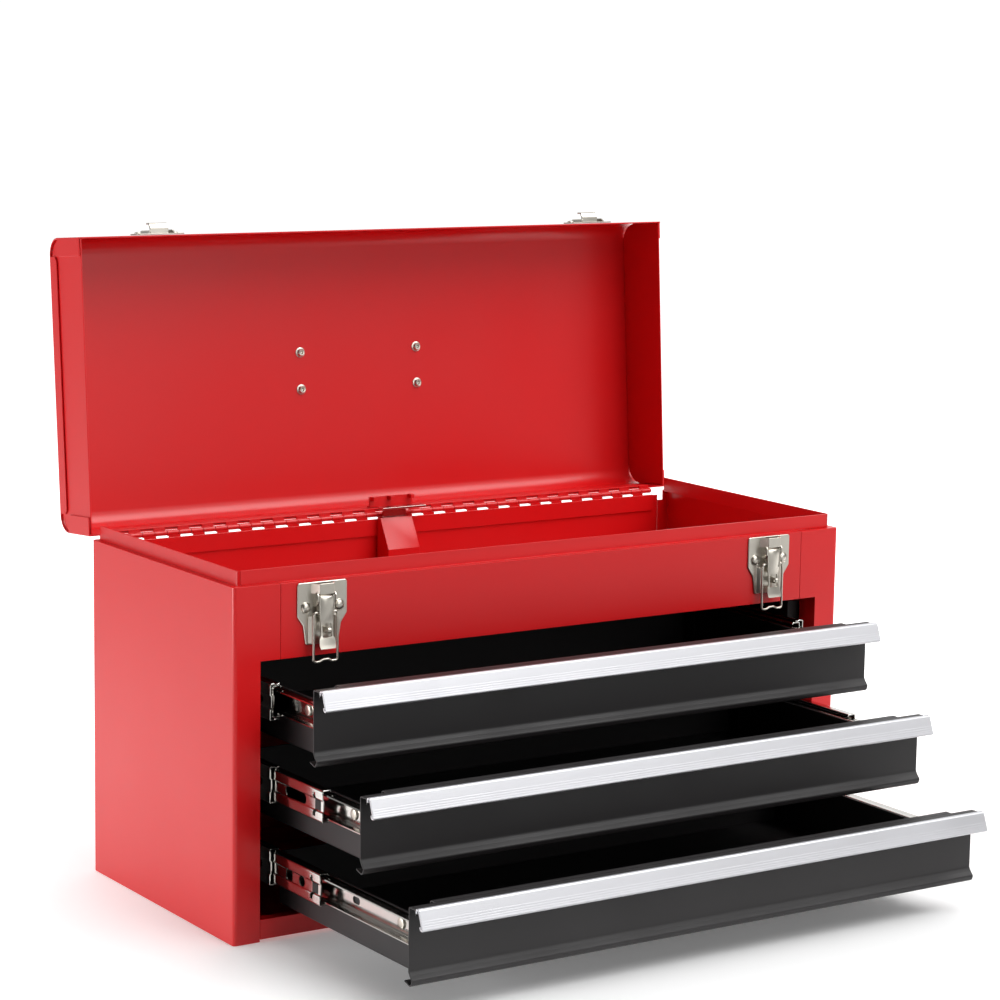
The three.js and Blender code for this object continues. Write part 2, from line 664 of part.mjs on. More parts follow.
// ---------- assembly ----------
const shell = cabinetShell();
const openShell = shell.subtract(frontCut());
add('side_panel_left', sidePanel(openShell, -1), RED);
add('side_panel_right', sidePanel(openShell, 1), RED);
add('upper_front_panel', upperFrontPanel(shell), RED);
add('back_panel', backPanel(), RED);
add('base_panel', basePanel(), RED);
add('compartment_floor', compartmentFloor(), RED);
add('slide_mount_left', slideMount(-1), BLACK);
add('slide_mount_right', slideMount(1), BLACK);
add('lock_cover', lockCover(), RED);
add('lock_bar', lockBar(), ZINC);
for (let i = 0; i < DRAWER_BOTTOMS.length; i += 1) drawer(i);
hinge();
latches();
lid();

export default chest;
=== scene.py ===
"""Portable steel tool chest with a flip-up lid and three drawers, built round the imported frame."""

import json
import logging
import math
from collections.abc import Sequence
from dataclasses import dataclass
from enum import Enum
from typing import Any

import bmesh
import bpy
from mathutils import Matrix, Vector
from mathutils.geometry import tessellate_polygon


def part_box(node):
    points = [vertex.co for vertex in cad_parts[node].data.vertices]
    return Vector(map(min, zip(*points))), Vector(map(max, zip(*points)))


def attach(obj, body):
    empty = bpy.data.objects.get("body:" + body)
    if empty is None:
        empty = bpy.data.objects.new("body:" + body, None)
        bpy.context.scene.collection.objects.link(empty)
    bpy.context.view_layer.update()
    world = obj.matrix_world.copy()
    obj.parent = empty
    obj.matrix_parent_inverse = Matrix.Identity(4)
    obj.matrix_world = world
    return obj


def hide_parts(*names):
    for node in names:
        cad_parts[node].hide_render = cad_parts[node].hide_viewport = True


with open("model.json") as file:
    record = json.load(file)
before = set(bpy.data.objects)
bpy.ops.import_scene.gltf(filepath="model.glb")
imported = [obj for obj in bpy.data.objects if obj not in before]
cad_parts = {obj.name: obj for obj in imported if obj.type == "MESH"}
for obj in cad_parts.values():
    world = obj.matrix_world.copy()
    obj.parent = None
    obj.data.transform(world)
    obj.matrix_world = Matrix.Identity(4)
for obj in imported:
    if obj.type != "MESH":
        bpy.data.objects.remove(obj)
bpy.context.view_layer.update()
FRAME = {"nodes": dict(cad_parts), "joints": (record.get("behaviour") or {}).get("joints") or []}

MM = 0.001  # sizes are written in millimetres, and Blender works in metres
NEARLY_STRAIGHT = math.radians(89.5)  # a corner whose half angle is wider than this isn't rounded
SAME_POINT = 0.001  # corners closer than this many millimetres are one
CORNER_SHARE = 0.49  # how much of a side one rounded corner may take
UP = Vector((0, 0, 1))
AHEAD = Vector((0, -1, 0))  # the way the chest's front faces
LOG = logging.getLogger("tool_chest")
Outline = list[tuple[float, float]]


# ---------- named options ----------
class Axis(Enum):
    """The way an outline is run. Its two numbers are the other two axes, in order."""

    X = 0
    Y = 1
    Z = 2

    def point(self, first: float, second: float, along: float) -> Vector:
        """The point in space for an outline's point and a distance along the axis.

        Args:
            first: the first number of the outline's point.
            second: its second number.
            along: distance along the axis.

        Returns:
            The point.
        """
        numbers = [first, second]
        numbers.insert(self.value, along)
        return Vector(numbers)


class Side(Enum):
    """Which side of the chest a piece is on."""

    LEFT = -1
    RIGHT = 1

    @property
    def label(self) -> str:
        """The word used in names."""
        return self.name.lower()

    def across(self, outline: Outline) -> Outline:
        """An outline drawn for the left, set out for this side."""
        return outline if self is Side.LEFT else [(-a, b) for a, b in outline]


class Joining(Enum):
    """How two solids are combined."""

    CUT = "DIFFERENCE"
    UNITE = "UNION"


# ---------- outlines, in millimetres ----------
def arc(centre: tuple[float, float], radius: float, start: float, stop: float, steps: int) -> Outline:
    """Points on an arc.

    Args:
        centre: centre of the arc.
        radius: its radius.
        start: first angle, in degrees.
        stop: last angle, in degrees.
        steps: number of chords.

    Returns:
        The points, both ends included.
    """
    turns = [math.radians(start + (stop - start) * i / steps) for i in range(steps + 1)]
    return [(centre[0] + radius * math.cos(t), centre[1] + radius * math.sin(t)) for t in turns]


def bent(path: Outline, radii: Sequence[float], steps: int, closed: bool = False) -> Outline:
    """Rounds the corners of a path.

    Args:
        path: the corners.
        radii: one radius a corner.
        steps: chords in each rounded corner.
        closed: whether the last corner joins the first.

    Returns:
        The rounded path.
    """
    count = len(path)
    made: Outline = []
    for i, (point, radius) in enumerate(zip(path, radii)):
        if radius <= 0 or (not closed and i in (0, count - 1)):
            made.append(point)
            continue
        here = Vector(point)
        back, ahead = Vector(path[i - 1]) - here, Vector(path[(i + 1) % count]) - here
        half = back.angle(ahead) / 2
        if half > NEARLY_STRAIGHT:
            made.append(point)
            continue
        reach = min(radius / math.tan(half), CORNER_SHARE * back.length, CORNER_SHARE * ahead.length)
        start, stop = here + back.normalized() * reach, here + ahead.normalized() * reach
        middle = here + (back.normalized() + ahead.normalized()).normalized() * reach / math.cos(half)
        a, b = start - middle, stop - middle
        sweep = math.atan2(a.x * b.y - a.y * b.x, a.dot(b))
        for k in range(steps + 1):
            turned = Matrix.Rotation(sweep * k / steps, 2) @ a
            made.append(tuple(middle + turned))
    return made


def beside(path: Outline, distance: float, closed: bool = False) -> Outline:
    """A path set off to the left of another, with mitred corners.

    Args:
        path: the path to follow.
        distance: how far to its left.
        closed: whether the last corner joins the first.

    Returns:
        The new path, with as many points.
    """
    count = len(path)
    ways = [(Vector(path[(i + 1) % count]) - Vector(path[i])).normalized() for i in range(count)]
    made: Outline = []
    for i, point in enumerate(path):
        before = ways[i - 1] if closed or i > 0 else ways[i]
        after = ways[i] if closed or i < count - 1 else ways[i - 1]
        left, right = Vector((-before.y, before.x)), Vector((-after.y, after.x))
        spread = max(1 + left.dot(right), 0.2)
        made.append(tuple(Vector(point) + (left + right) * (distance / spread)))
    return made


def folded(path: Outline, thickness: float, radius: float = 0.5, steps: int = 4) -> Outline:
    """The section of a folded sheet.

    Args:
        path: one face of the sheet; the other lies to its left.
        thickness: of the sheet.
        radius: inside radius of its bends.
        steps: chords in each bend.

    Returns:
        The closed outline.
    """
    other = beside(path, thickness)
    near, far = [0.0], [0.0]
    for before, point, after in zip(path, path[1:], path[2:]):
        a, b = Vector(point) - Vector(before), Vector(after) - Vector(point)
        inside_left = a.x * b.y - a.y * b.x > 0
        near.append(radius + thickness if inside_left else radius)
        far.append(radius if inside_left else radius + thickness)
    near.append(0.0)
    far.append(0.0)
    return bent(path, near, steps) + bent(other, far, steps)[::-1]


def rounded(corners: Outline, radius: float, steps: int = 4) -> Outline:
    """A closed outline with all its corners rounded to one radius."""
    return bent(corners, [radius] * len(corners), steps, closed=True)


def rectangle(a0: float, a1: float, b0: float, b1: float, radius: float = 0.0, steps: int = 4) -> Outline:
    """A rectangle with rounded corners."""
    corners = [(a0, b0), (a1, b0), (a1, b1), (a0, b1)]
    return rounded(corners, radius, steps) if radius else corners


def circle(centre: tuple[float, float], radius: float, steps: int = 20) -> Outline:
    """A closed round outline."""
    return arc(centre, radius, 0, 360, steps)[:-1]


def turned_left(outline: Outline) -> Outline:
    """The outline in anticlockwise order."""
    pairs = zip(outline, outline[1:] + outline[:1])
    return outline if sum(a[0] * b[1] - b[0] * a[1] for a, b in pairs) > 0 else outline[::-1]


def mirrored(half: Outline) -> Outline:
    """Half an outline, then its mirror image, in which the second numbers change sign."""
    return half + [(a, -b) for a, b in half[::-1]]


def smoothed(rows: Sequence[Sequence[float]], between: int) -> list[list[float]]:
    """Rows of numbers with more rows on a smooth curve between them.

    Args:
        rows: the rows that the curve passes through.
        between: how many parts each interval is split into.

    Returns:
        The denser rows.
    """
    made = []
    for i in range(len(rows) - 1):
        a, b, c, d = rows[max(i - 1, 0)], rows[i], rows[i + 1], rows[min(i + 2, len(rows) - 1)]
        for k in range(between):
            t = k / between
            weights = (
                (-t + 2 * t**2 - t**3) / 2,
                (2 - 5 * t**2 + 3 * t**3) / 2,
                (t + 4 * t**2 - 3 * t**3) / 2,
                (t**3 - t**2) / 2,
            )
            made.append([sum(w * v for w, v in zip(weights, column)) for column in zip(a, b, c, d)])
    made.append(list(rows[-1]))
    return made


# ---------- solids ----------
class Solid:
    """A closed mesh being made, in millimetres, before it becomes a piece."""

    def __init__(self) -> None:
        """Starts empty."""
        self.bm = bmesh.new()

    def _skin(self, rings: Sequence[Sequence[Any]], loop: bool = False) -> None:
        """Joins rings of vertices with faces.

        Args:
            rings: the rings, where a ring of one vertex is a point.
            loop: whether the last ring joins the first.
        """
        pairs = list(zip(rings, rings[1:])) + ([(rings[-1], rings[0])] if loop else [])
        for low, high in pairs:
            count = max(len(low), len(high))
            for i in range(count):
                j = (i + 1) % count
                corners = [low[i % len(low)], low[j % len(low)], high[j % len(high)], high[i % len(high)]]
                unique = list(dict.fromkeys(corners))
                if len(unique) > 2:
                    self.bm.faces.new(unique)

    @classmethod
    def run(
        cls,
        outline: Outline,
        axis: Axis,
        start: float,
        stop: float,
        holes: Sequence[Outline] = (),
        ease: float = 0.15,
    ) -> "Solid":
        """An outline run along an axis.

        Args:
            outline: the closed outline.
            axis: the way it is run.
            start: where it starts.
            stop: where it ends.
            holes: closed outlines left open.
            ease: size of the eased edge at each end.

        Returns:
            The solid.
        """
        made = cls()
        start, stop = min(start, stop), max(start, stop)
        loops = [turned_left(outline)] + [turned_left(hole)[::-1] for hole in holes]
        levels = [(start, ease), (start + ease, 0.0), (stop - ease, 0.0), (stop, ease)]
        ends: list[list[Any]] = [[], []]
        flats: list[list[list[Vector]]] = [[], []]
        for loop in loops:
            rings = []
            for along, inset in levels if ease else [levels[0], levels[3]]:
                points = beside(loop, inset, closed=True) if inset else loop
                rings.append([made.bm.verts.new(axis.point(a, b, along)) for a, b in points])
                if along in (start, stop):
                    flats[along == stop].append([Vector((a, b, 0)) for a, b in points])
            made._skin(rings)
            ends[0] += rings[0]
            ends[1] += rings[-1]
        for verts, flat in zip(ends, flats):
            if len(flat) == 1:
                made.bm.faces.new(verts)
                continue
            for triangle in tessellate_polygon(flat):
                made.bm.faces.new([verts[i] for i in triangle])
        return made

    @classmethod
    def turned(cls, profile: Outline, base: Vector, way: Vector, steps: int = 24) -> "Solid":
        """A profile turned round an axis, as on a lathe.

        Args:
            profile: (radius, height) from the axis back to the axis.
            base: where height is nought.
            way: direction of the axis.
            steps: facets round it.

        Returns:
            The solid.
        """
        made = cls()
        rings = []
        for radius, height in profile:
            if radius == 0:
                rings.append([made.bm.verts.new((0, 0, height))])
                continue
            rings.append([made.bm.verts.new((a, b, height)) for a, b in circle((0, 0), radius, steps)])
        made._skin(rings)
        return made.stood(base, way)

    @classmethod
    def hoop(cls, section: Outline, base: Vector, way: Vector, steps: int = 24) -> "Solid":
        """A section turned into a ring about an axis.

        Args:
            section: the closed section, as (radius, height).
            base: where height is nought.
            way: direction of the axis.
            steps: facets round it.

        Returns:
            The solid.
        """
        made = cls()
        rings = []
        for i in range(steps):
            t = 2 * math.pi * i / steps
            rings.append([made.bm.verts.new((r * math.cos(t), r * math.sin(t), h)) for r, h in section])
        made._skin(rings, loop=True)
        return made.stood(base, way)

    @classmethod
    def lofted(cls, rings: Sequence[Sequence[Vector]]) -> "Solid":
        """Closed rings skinned one to the next, with flat ends.

        Args:
            rings: the rings, all with the same number of points.

        Returns:
            The solid.
        """
        made = cls()
        verts = [[made.bm.verts.new(point) for point in ring] for ring in rings]
        made._skin(verts)
        made.bm.faces.new(verts[0])
        made.bm.faces.new(verts[-1])
        return made

    @classmethod
    def wire(cls, path: Sequence[Vector], radius: float, steps: int = 12) -> "Solid":
        """A round wire along a path, its ends eased.

        Args:
            path: points on its centre line.
            radius: of the wire.
            steps: facets round it.

        Returns:
            The solid.
        """
        ways = [(b - a).normalized() for a, b in zip(path, path[1:])]
        across = ways[0].orthogonal().normalized()
        rings = []
        for i, point in enumerate(path):
            before, after = ways[max(i - 1, 0)], ways[min(i, len(ways) - 1)]
            along = (before + after).normalized()
            across = (across - along * across.dot(along)).normalized()
            other = along.cross(across)
            rings.append([point + (across * a + other * b) for a, b in circle((0, 0), radius, steps)])
        tip, narrowed = radius * 0.3, 0.7
        caps = []
        for ring, centre, way in ((rings[0], path[0], -ways[0]), (rings[-1], path[-1], ways[-1])):
            caps.append([centre + way * tip + (point - centre) * narrowed for point in ring])
        return cls.lofted([caps[0], *rings, caps[1]])

    def moved(self, place: Matrix) -> "Solid":
        """The same solid, moved."""
        bmesh.ops.transform(self.bm, matrix=place, verts=self.bm.verts)
        return self

    def stood(self, base: Vector, way: Vector) -> "Solid":
        """The same solid, drawn upright at the origin, stood on a base and facing a way."""
        return self.moved(Matrix.Translation(base) @ UP.rotation_difference(way).to_matrix().to_4x4())

    def beside(self, *others: "Solid") -> "Solid":
        """Takes in other solids that only stand next to this one.

        Args:
            others: the other solids, which are used up.

        Returns:
            This solid.
        """
        for other in others:
            mesh = other._mesh("part")
            self.bm.from_mesh(mesh)
            bpy.data.meshes.remove(mesh)
        return self

    def _mesh(self, name: str) -> bpy.types.Mesh:
        """Turns the solid into a mesh with its faces outwards, and uses the solid up.

        Args:
            name: name of the mesh.

        Returns:
            The mesh.
        """
        bmesh.ops.recalc_face_normals(self.bm, faces=self.bm.faces)
        mesh = bpy.data.meshes.new(name)
        self.bm.to_mesh(mesh)
        self.bm.free()
        return mesh

    def combined(self, how: Joining, others: Sequence["Solid"]) -> "Solid":
        """Cuts other solids out of this one, or unites them with it.

        Args:
            how: which of the two.
            others: the other solids, used up as this one is.

        Returns:
            The result.
        """
        base, *tools = [bpy.data.objects.new("blank", s._mesh("blank")) for s in (self, *others)]
        for thing in (base, *tools):
            bpy.context.collection.objects.link(thing)
        for tool in tools:
            step = base.modifiers.new("join", "BOOLEAN")
            step.operation, step.solver, step.object = how.value, "EXACT", tool
        graph = bpy.context.evaluated_depsgraph_get()
        result = bpy.data.meshes.new_from_object(base.evaluated_get(graph))
        made = Solid()
        made.bm.from_mesh(result)
        bmesh.ops.remove_doubles(made.bm, verts=made.bm.verts, dist=SAME_POINT)
        for thing in (base, *tools):
            mesh = thing.data
            bpy.data.objects.remove(thing)
            bpy.data.meshes.remove(mesh)
        bpy.data.meshes.remove(result)
        return made

    def cut(self, *tools: "Solid") -> "Solid":
        """This solid with others cut out of it."""
        return self.combined(Joining.CUT, tools)

    def united(self, *others: "Solid") -> "Solid":
        """This solid made one with others."""
        return self.combined(Joining.UNITE, others)

    def show(
        self,
        name: str,
        finish: "Finish",
        body: str,
        replaces: Sequence[str] = (),
        place: Matrix | None = None,
        crease: float = 32.0,
    ) -> bpy.types.Object:
        """Makes the solid a visible piece.

        Args:
            name: name of the piece.
            finish: what it is made of.
            body: the body it rides on.
            replaces: CAD nodes it stands for.
            place: where it goes, if not as drawn; in millimetres.
            crease: edges sharper than this many degrees stay sharp.

        Returns:
            The piece.
        """
        if place is not None:
            self.moved(place)
        self.moved(Matrix.Scale(MM, 4))
        mesh = self._mesh(name)
        mesh.shade_smooth()
        mesh.set_sharp_from_angle(angle=math.radians(crease))
        mesh.materials.append(finish.material())
        piece = bpy.data.objects.new(name, mesh)
        bpy.context.collection.objects.link(piece)
        piece.modifiers.new("even faces", "WEIGHTED_NORMAL").keep_sharp = True
        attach(piece, body)
        if replaces:
            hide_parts(*replaces)
        LOG.info("%s: %d faces on %s", name, len(mesh.polygons), body)
        return piece


def box(x0: float, x1: float, y0: float, y1: float, z0: float, z1: float, radius: float = 0.3) -> Solid:
    """A block with eased edges."""
    return Solid.run(rectangle(x0, x1, y0, y1, radius, 3), Axis.Z, z0, z1, ease=min(radius, 0.3))


# ---------- materials ----------
def linear(colour: str) -> tuple[float, float, float, float]:
    """Turns a colour into the linear values that a shader takes.

    Args:
        colour: sRGB hex, such as "#CE0E12".

    Returns:
        Red, green, blue and alpha.
    """
    values = [int(colour[i : i + 2], 16) / 255 for i in (1, 3, 5)]
    red, green, blue = (v / 12.92 if v <= 0.04045 else ((v + 0.055) / 1.055) ** 2.4 for v in values)
    return red, green, blue, 1.0


def add_node(
    tree: bpy.types.NodeTree, kind: str, inputs: dict[str | int, Any] | None = None, **settings: Any
) -> bpy.types.Node:
    """Adds a node with its settings and links.

    Args:
        tree: the node tree.
        kind: the node's type.
        inputs: value or output socket for each input.
        settings: the node's own properties.

    Returns:
        The node.
    """
    node = tree.nodes.new(kind)
    for key, value in settings.items():
        setattr(node, key, value)
    for key, value in (inputs or {}).items():
        if isinstance(value, bpy.types.NodeSocket):
            tree.links.new(value, node.inputs[key])
        else:
            node.inputs[key].default_value = value
    return node


@dataclass(frozen=True)
class Finish:
    """A surface: what it is and how it was made."""

    name: str
    slot: str
    colour: str
    second_colour: str
    roughness: float
    rough_spread: float = 0.04
    metallic: float = 0.0
    patch_mm: float = 40.0  # size of the slow change in colour and gloss
    grain_mm: tuple[float, float, float] = (1.0, 1.0, 1.0)  # size of the fine relief along x, y, z
    grain_depth_mm: float = 0.01
    grain_strength: float = 0.3

    def material(self) -> bpy.types.Material:
        """The material, made once."""
        return bpy.data.materials.get(self.name) or self._make()

    def _make(self) -> bpy.types.Material:
        """Builds the node tree: slow patches of colour and gloss over a fine relief.

        Returns:
            The material.
        """
        material = bpy.data.materials.new(self.name)
        material.use_nodes = True
        tree = material.node_tree
        shader = tree.nodes["Principled BSDF"]
        place = add_node(tree, "ShaderNodeTexCoord").outputs["Object"]
        patches = add_node(
            tree,
            "ShaderNodeTexNoise",
            {"Vector": place, "Scale": 1 / (self.patch_mm * MM), "Detail": 3.0, "Roughness": 0.55},
        ).outputs["Fac"]
        colours = add_node(
            tree,
            "ShaderNodeMix",
            {0: patches, 6: linear(self.colour), 7: linear(self.second_colour)},
            data_type="RGBA",
        ).outputs[2]
        gloss = add_node(
            tree,
            "ShaderNodeMapRange",
            {
                "Value": patches,
                "From Min": 0.3,
                "From Max": 0.7,
                "To Min": self.roughness - self.rough_spread,
                "To Max": self.roughness + self.rough_spread,
            },
            interpolation_type="SMOOTHSTEP",
        ).outputs["Result"]
        relief = self.relief(tree, place)
        normal = add_node(
            tree,
            "ShaderNodeBump",
            {"Height": relief, "Strength": self.grain_strength, "Distance": self.grain_depth_mm * MM},
        ).outputs["Normal"]
        tree.links.new(colours, shader.inputs["Base Color"])
        tree.links.new(gloss, shader.inputs["Roughness"])
        tree.links.new(normal, shader.inputs["Normal"])
        shader.inputs["Metallic"].default_value = self.metallic
        self.extras(tree, shader)
        return material

    def relief(self, tree: bpy.types.NodeTree, place: bpy.types.NodeSocket) -> bpy.types.NodeSocket:
        """The fine relief: noise stretched to the grain's three sizes.

        Args:
            tree: the material's node tree.
            place: where a point is on the piece.

        Returns:
            The height.
        """
        stretched = add_node(
            tree,
            "ShaderNodeMapping",
            {"Vector": place, "Scale": tuple(1 / (size * MM) for size in self.grain_mm)},
        ).outputs["Vector"]
        return add_node(
            tree, "ShaderNodeTexNoise", {"Vector": stretched, "Scale": 1.0, "Detail": 2.0, "Roughness": 0.6}
        ).outputs["Fac"]

    def extras(self, tree: bpy.types.NodeTree, shader: bpy.types.Node) -> None:
        """Sets what only one kind of finish has; a bare metal has nothing more.

        Args:
            tree: the material's node tree.
            shader: its surface shader.
        """


@dataclass(frozen=True)
class PowderCoat(Finish):
    """Polyester powder sprayed on sheet steel and baked: a soft gloss over a fine orange peel."""

    def extras(self, tree: bpy.types.NodeTree, shader: bpy.types.Node) -> None:
        """A resin's index of refraction."""
        shader.inputs["IOR"].default_value = 1.5


@dataclass(frozen=True)
class Moulded(Finish):
    """Injection-moulded plastic: even colour, and a spark-eroded grain that breaks up the shine."""

    def extras(self, tree: bpy.types.NodeTree, shader: bpy.types.Node) -> None:
        """A plastic's index of refraction."""
        shader.inputs["IOR"].default_value = 1.46


@dataclass(frozen=True)
class GrainedVinyl(Moulded):
    """Soft PVC moulded with a hide-like grain: small hollows with raised edges between them."""

    def relief(self, tree: bpy.types.NodeTree, place: bpy.types.NodeSocket) -> bpy.types.NodeSocket:
        """Cells as wide as the grain, lowest in their middles.

        Args:
            tree: the material's node tree.
            place: where a point is on the piece.

        Returns:
            The height.
        """
        return add_node(
            tree,
            "ShaderNodeTexVoronoi",
            {"Vector": place, "Scale": 1 / (self.grain_mm[0] * MM)},
            feature="SMOOTH_F1",
        ).outputs["Distance"]


RED_PAINT = PowderCoat(
    # Tool-chest red, satin: broad soft highlights that ripple a little on the large panels.
    name="red_powder_coat_satin",
    slot="red_powder_coat",
    colour="#CE0E12",
    second_colour="#C90D11",
    roughness=0.31,
    rough_spread=0.02,
    patch_mm=90.0,
    grain_mm=(1.6, 1.6, 1.6),  # orange peel, about a millimetre and a half across
    grain_depth_mm=0.02,
    grain_strength=0.22,
)
BLACK_PAINT = PowderCoat(
    # The same powder in black and flatter: the drawers read dark, with dull grey sheens.
    name="black_powder_coat_satin",
    slot="black_powder_coat",
    colour="#171415",
    second_colour="#1B1718",
    roughness=0.5,
    patch_mm=70.0,
    grain_mm=(1.4, 1.4, 1.4),  # orange peel again, a little finer
    grain_depth_mm=0.02,
    grain_strength=0.3,
)
ALUMINIUM = Finish(
    # Extruded, brushed lengthways and anodised: a pale satin bar with fine lines along it.
    name="anodised_aluminium_brushed",
    slot="anodised_aluminium",
    colour="#CBCBCE",
    second_colour="#C7C7CB",
    roughness=0.48,
    metallic=1.0,
    patch_mm=60.0,
    grain_mm=(90.0, 0.5, 0.5),  # brush lines half a millimetre apart, nine centimetres long
    grain_depth_mm=0.012,
    grain_strength=0.25,
)
ZINC = Finish(
    # Cold-rolled strip, bright zinc plated: near-mirror flats with faint lines along the rolling.
    name="zinc_plate_bright",
    slot="zinc_plate",
    colour="#D8D9D3",
    second_colour="#CFC9C6",
    roughness=0.13,
    rough_spread=0.03,
    metallic=1.0,
    patch_mm=14.0,
    grain_mm=(0.7, 60.0, 0.7),  # rolling lines, drawn as coarse as 0.7 mm so that they show
    grain_depth_mm=0.006,
    grain_strength=0.2,
)
NICKEL = Finish(
    # Pressed steel, barrel plated with nickel: warm grey, soft dents left by the press.
    name="nickel_plate_barrel",
    slot="nickel_plate",
    colour="#D2CDC2",
    second_colour="#C6C0B5",
    roughness=0.32,
    rough_spread=0.03,
    metallic=1.0,
    patch_mm=6.0,
    grain_mm=(1.8, 1.8, 1.8),  # dents two millimetres across
    grain_depth_mm=0.03,
    grain_strength=0.25,
)
CHROME = Finish(
    # Pressed steel, polished and chromed: a hard mirror, a little blue.
    name="chrome_plate_polished",
    slot="chrome_plate",
    colour="#D9DCDF",
    second_colour="#D2D5D9",
    roughness=0.08,
    rough_spread=0.02,
    metallic=1.0,
    patch_mm=10.0,
    grain_mm=(3.0, 3.0, 3.0),  # the slight waviness that polishing leaves
    grain_depth_mm=0.01,
    grain_strength=0.15,
)
PLASTIC = Moulded(
    # Acetal stops inside the slides: nearly black, with a dull, broken shine.
    name="acetal_moulded_black",
    slot="black_plastic",
    colour="#09090A",
    second_colour="#0C0C0D",
    roughness=0.5,
    patch_mm=8.0,
    grain_mm=(0.6, 0.6, 0.6),  # spark-eroded grain, drawn coarser than its tenth of a millimetre
    grain_depth_mm=0.01,
    grain_strength=0.2,
)
VINYL = GrainedVinyl(
    # The carrying strap's skin: black, soft to look at, its shine split up by the hide grain.
    name="pvc_moulded_grained",
    slot="black_plastic",
    colour="#121213",
    second_colour="#181818",
    roughness=0.36,
    patch_mm=12.0,
    grain_mm=(1.3, 1.3, 1.3),  # hollows of the hide grain, a little over a millimetre wide
    grain_depth_mm=0.12,
    grain_strength=0.35,
)


# ---------- carried-over CAD nodes ----------
@dataclass(frozen=True)
class Span:
    """A CAD node's box at rest, in millimetres."""

    low: Vector
    high: Vector

    @classmethod
    def of(cls, node: str) -> "Span":
        """The box of a node."""
        low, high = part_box(node)
        return cls(low / MM, high / MM)

    @property
    def middle(self) -> Vector:
        """Its centre."""
        return (self.low + self.high) / 2


def dress(node: str, finish: Finish, edge: float = 0.35) -> None:
    """Gives a CAD node its finish and eases its edges, leaving its shape alone.

    Args:
        node: name of the node.
        finish: what it is made of.
        edge: width of the eased edges, in millimetres.
    """
    piece = FRAME["nodes"][node]
    for place in piece.material_slots:
        place.material = finish.material()
    piece.modifiers.new("one skin", "WELD").merge_threshold = SAME_POINT * MM
    flats = piece.modifiers.new("whole faces", "DECIMATE")
    flats.decimate_type, flats.angle_limit = "DISSOLVE", math.radians(0.5)
    easing = piece.modifiers.new("eased edges", "BEVEL")
    easing.width, easing.segments, easing.limit_method = edge * MM, 2, "ANGLE"
    easing.angle_limit, easing.harden_normals = math.radians(35), True
    LOG.info("%s: dressed in %s", node, finish.name)


# ---------- fasteners ----------
SUNK = 0.3  # how far a head's foot reaches into the surface it stands on, in millimetres


@dataclass(frozen=True)
class Rivet:
    """A domed rivet head with a small shoulder."""

    radius: float = 3.2
    height: float = 1.7

    def solid(self, base: Vector, way: Vector) -> Solid:
        """The head, standing on a surface.

        Args:
            base: where it stands.
            way: the way it faces.

        Returns:
            The solid.
        """
        r, h = self.radius, self.height
        turns = [math.radians(a) for a in range(0, 90, 15)]
        dome = [(r * math.cos(t), h * 0.25 + h * 0.75 * math.sin(t)) for t in turns]
        shank = [(0, -SUNK), (r * 0.94, -SUNK), (r * 0.94, 0.12)]
        return Solid.turned([*shank, *dome, (0, h)], base, way)


@dataclass(frozen=True)
class Screw:
    """A low pan-head screw with a cross recess."""

    radius: float = 3.8
    height: float = 1.5

    def solid(self, base: Vector, way: Vector) -> Solid:
        """The head, standing on a surface.

        Args:
            base: where it stands.
            way: the way it faces.

        Returns:
            The solid.
        """
        r, h = self.radius, self.height
        profile = [(0, -SUNK), (r, -SUNK), (r, h * 0.45), (r * 0.9, h * 0.75), (r * 0.65, h * 0.95), (0, h)]
        long, thin = r * 0.55, r * 0.13
        arms = [box(-a, a, -b, b, h * 0.35, h + 1, 0.1) for a, b in ((long, thin), (thin, long))]
        return Solid.turned(profile, Vector(), UP).cut(*arms).stood(base, way)


# ---------- cabinet ----------
@dataclass
class Cabinet:
    """The shell: side panels, fronts, back, base and compartment floor."""

    weld_radius: float = 2.6
    weld_rise: float = 0.12
    weld_pitch: float = 44.0
    weld_from_side: float = 9.0
    weld_above_foot: float = 14.0
    weld_below_top: float = 10.0
    rim: float = 11.0  # height of the stepped rim that the lid closes over

    def build(self) -> None:
        """Dresses the panels, marks the back's spot welds and fills the front's seam."""
        for node in ("side_panel_left", "side_panel_right", "upper_front_panel", "back_panel", "base_panel"):
            dress(node, RED_PAINT)
        dress("compartment_floor", RED_PAINT, 0.25)
        # Painted shade: the slide mounts are dressed black to stand for the shade in the cabinet behind the
        # stiles.
        for node in ("slide_mount_left", "slide_mount_right"):
            dress(node, BLACK_PAINT, 0.25)
        self._spot_welds()
        self._seam_filler()

    def _seam_filler(self) -> None:
        """The paint that fills the seam between the left stile and the upper front panel."""
        panel = Span.of("upper_front_panel")
        x, y, foot = panel.low.x, panel.low.y, panel.low.z + 0.6
        head = Span.of("side_panel_left").high.z - self.rim
        strip = box(x - 1.2, x + 0.6, y + 0.02, y + 0.7, foot, head, 0.1)
        strip.show("front_seam_filler", RED_PAINT, "cabinet")

    def _spot_welds(self) -> None:
        """Shallow round marks, painted over, down each back corner."""
        back = Span.of("back_panel")
        r, h = self.weld_radius, self.weld_rise
        ring = [(0, -0.2), (r, -0.2), (r, 0.01), (r * 0.85, h), (r * 0.6, h * 0.5), (0, h * 0.25)]
        marks = Solid()
        for side in Side:
            x = side.value * (back.high.x - self.weld_from_side)
            z = back.low.z + self.weld_above_foot
            while z < back.high.z - self.weld_below_top:
                marks.beside(Solid.turned(ring, Vector((x, back.high.y, z)), -AHEAD))
                z += self.weld_pitch
        marks.show("back_spot_welds", RED_PAINT, "cabinet")


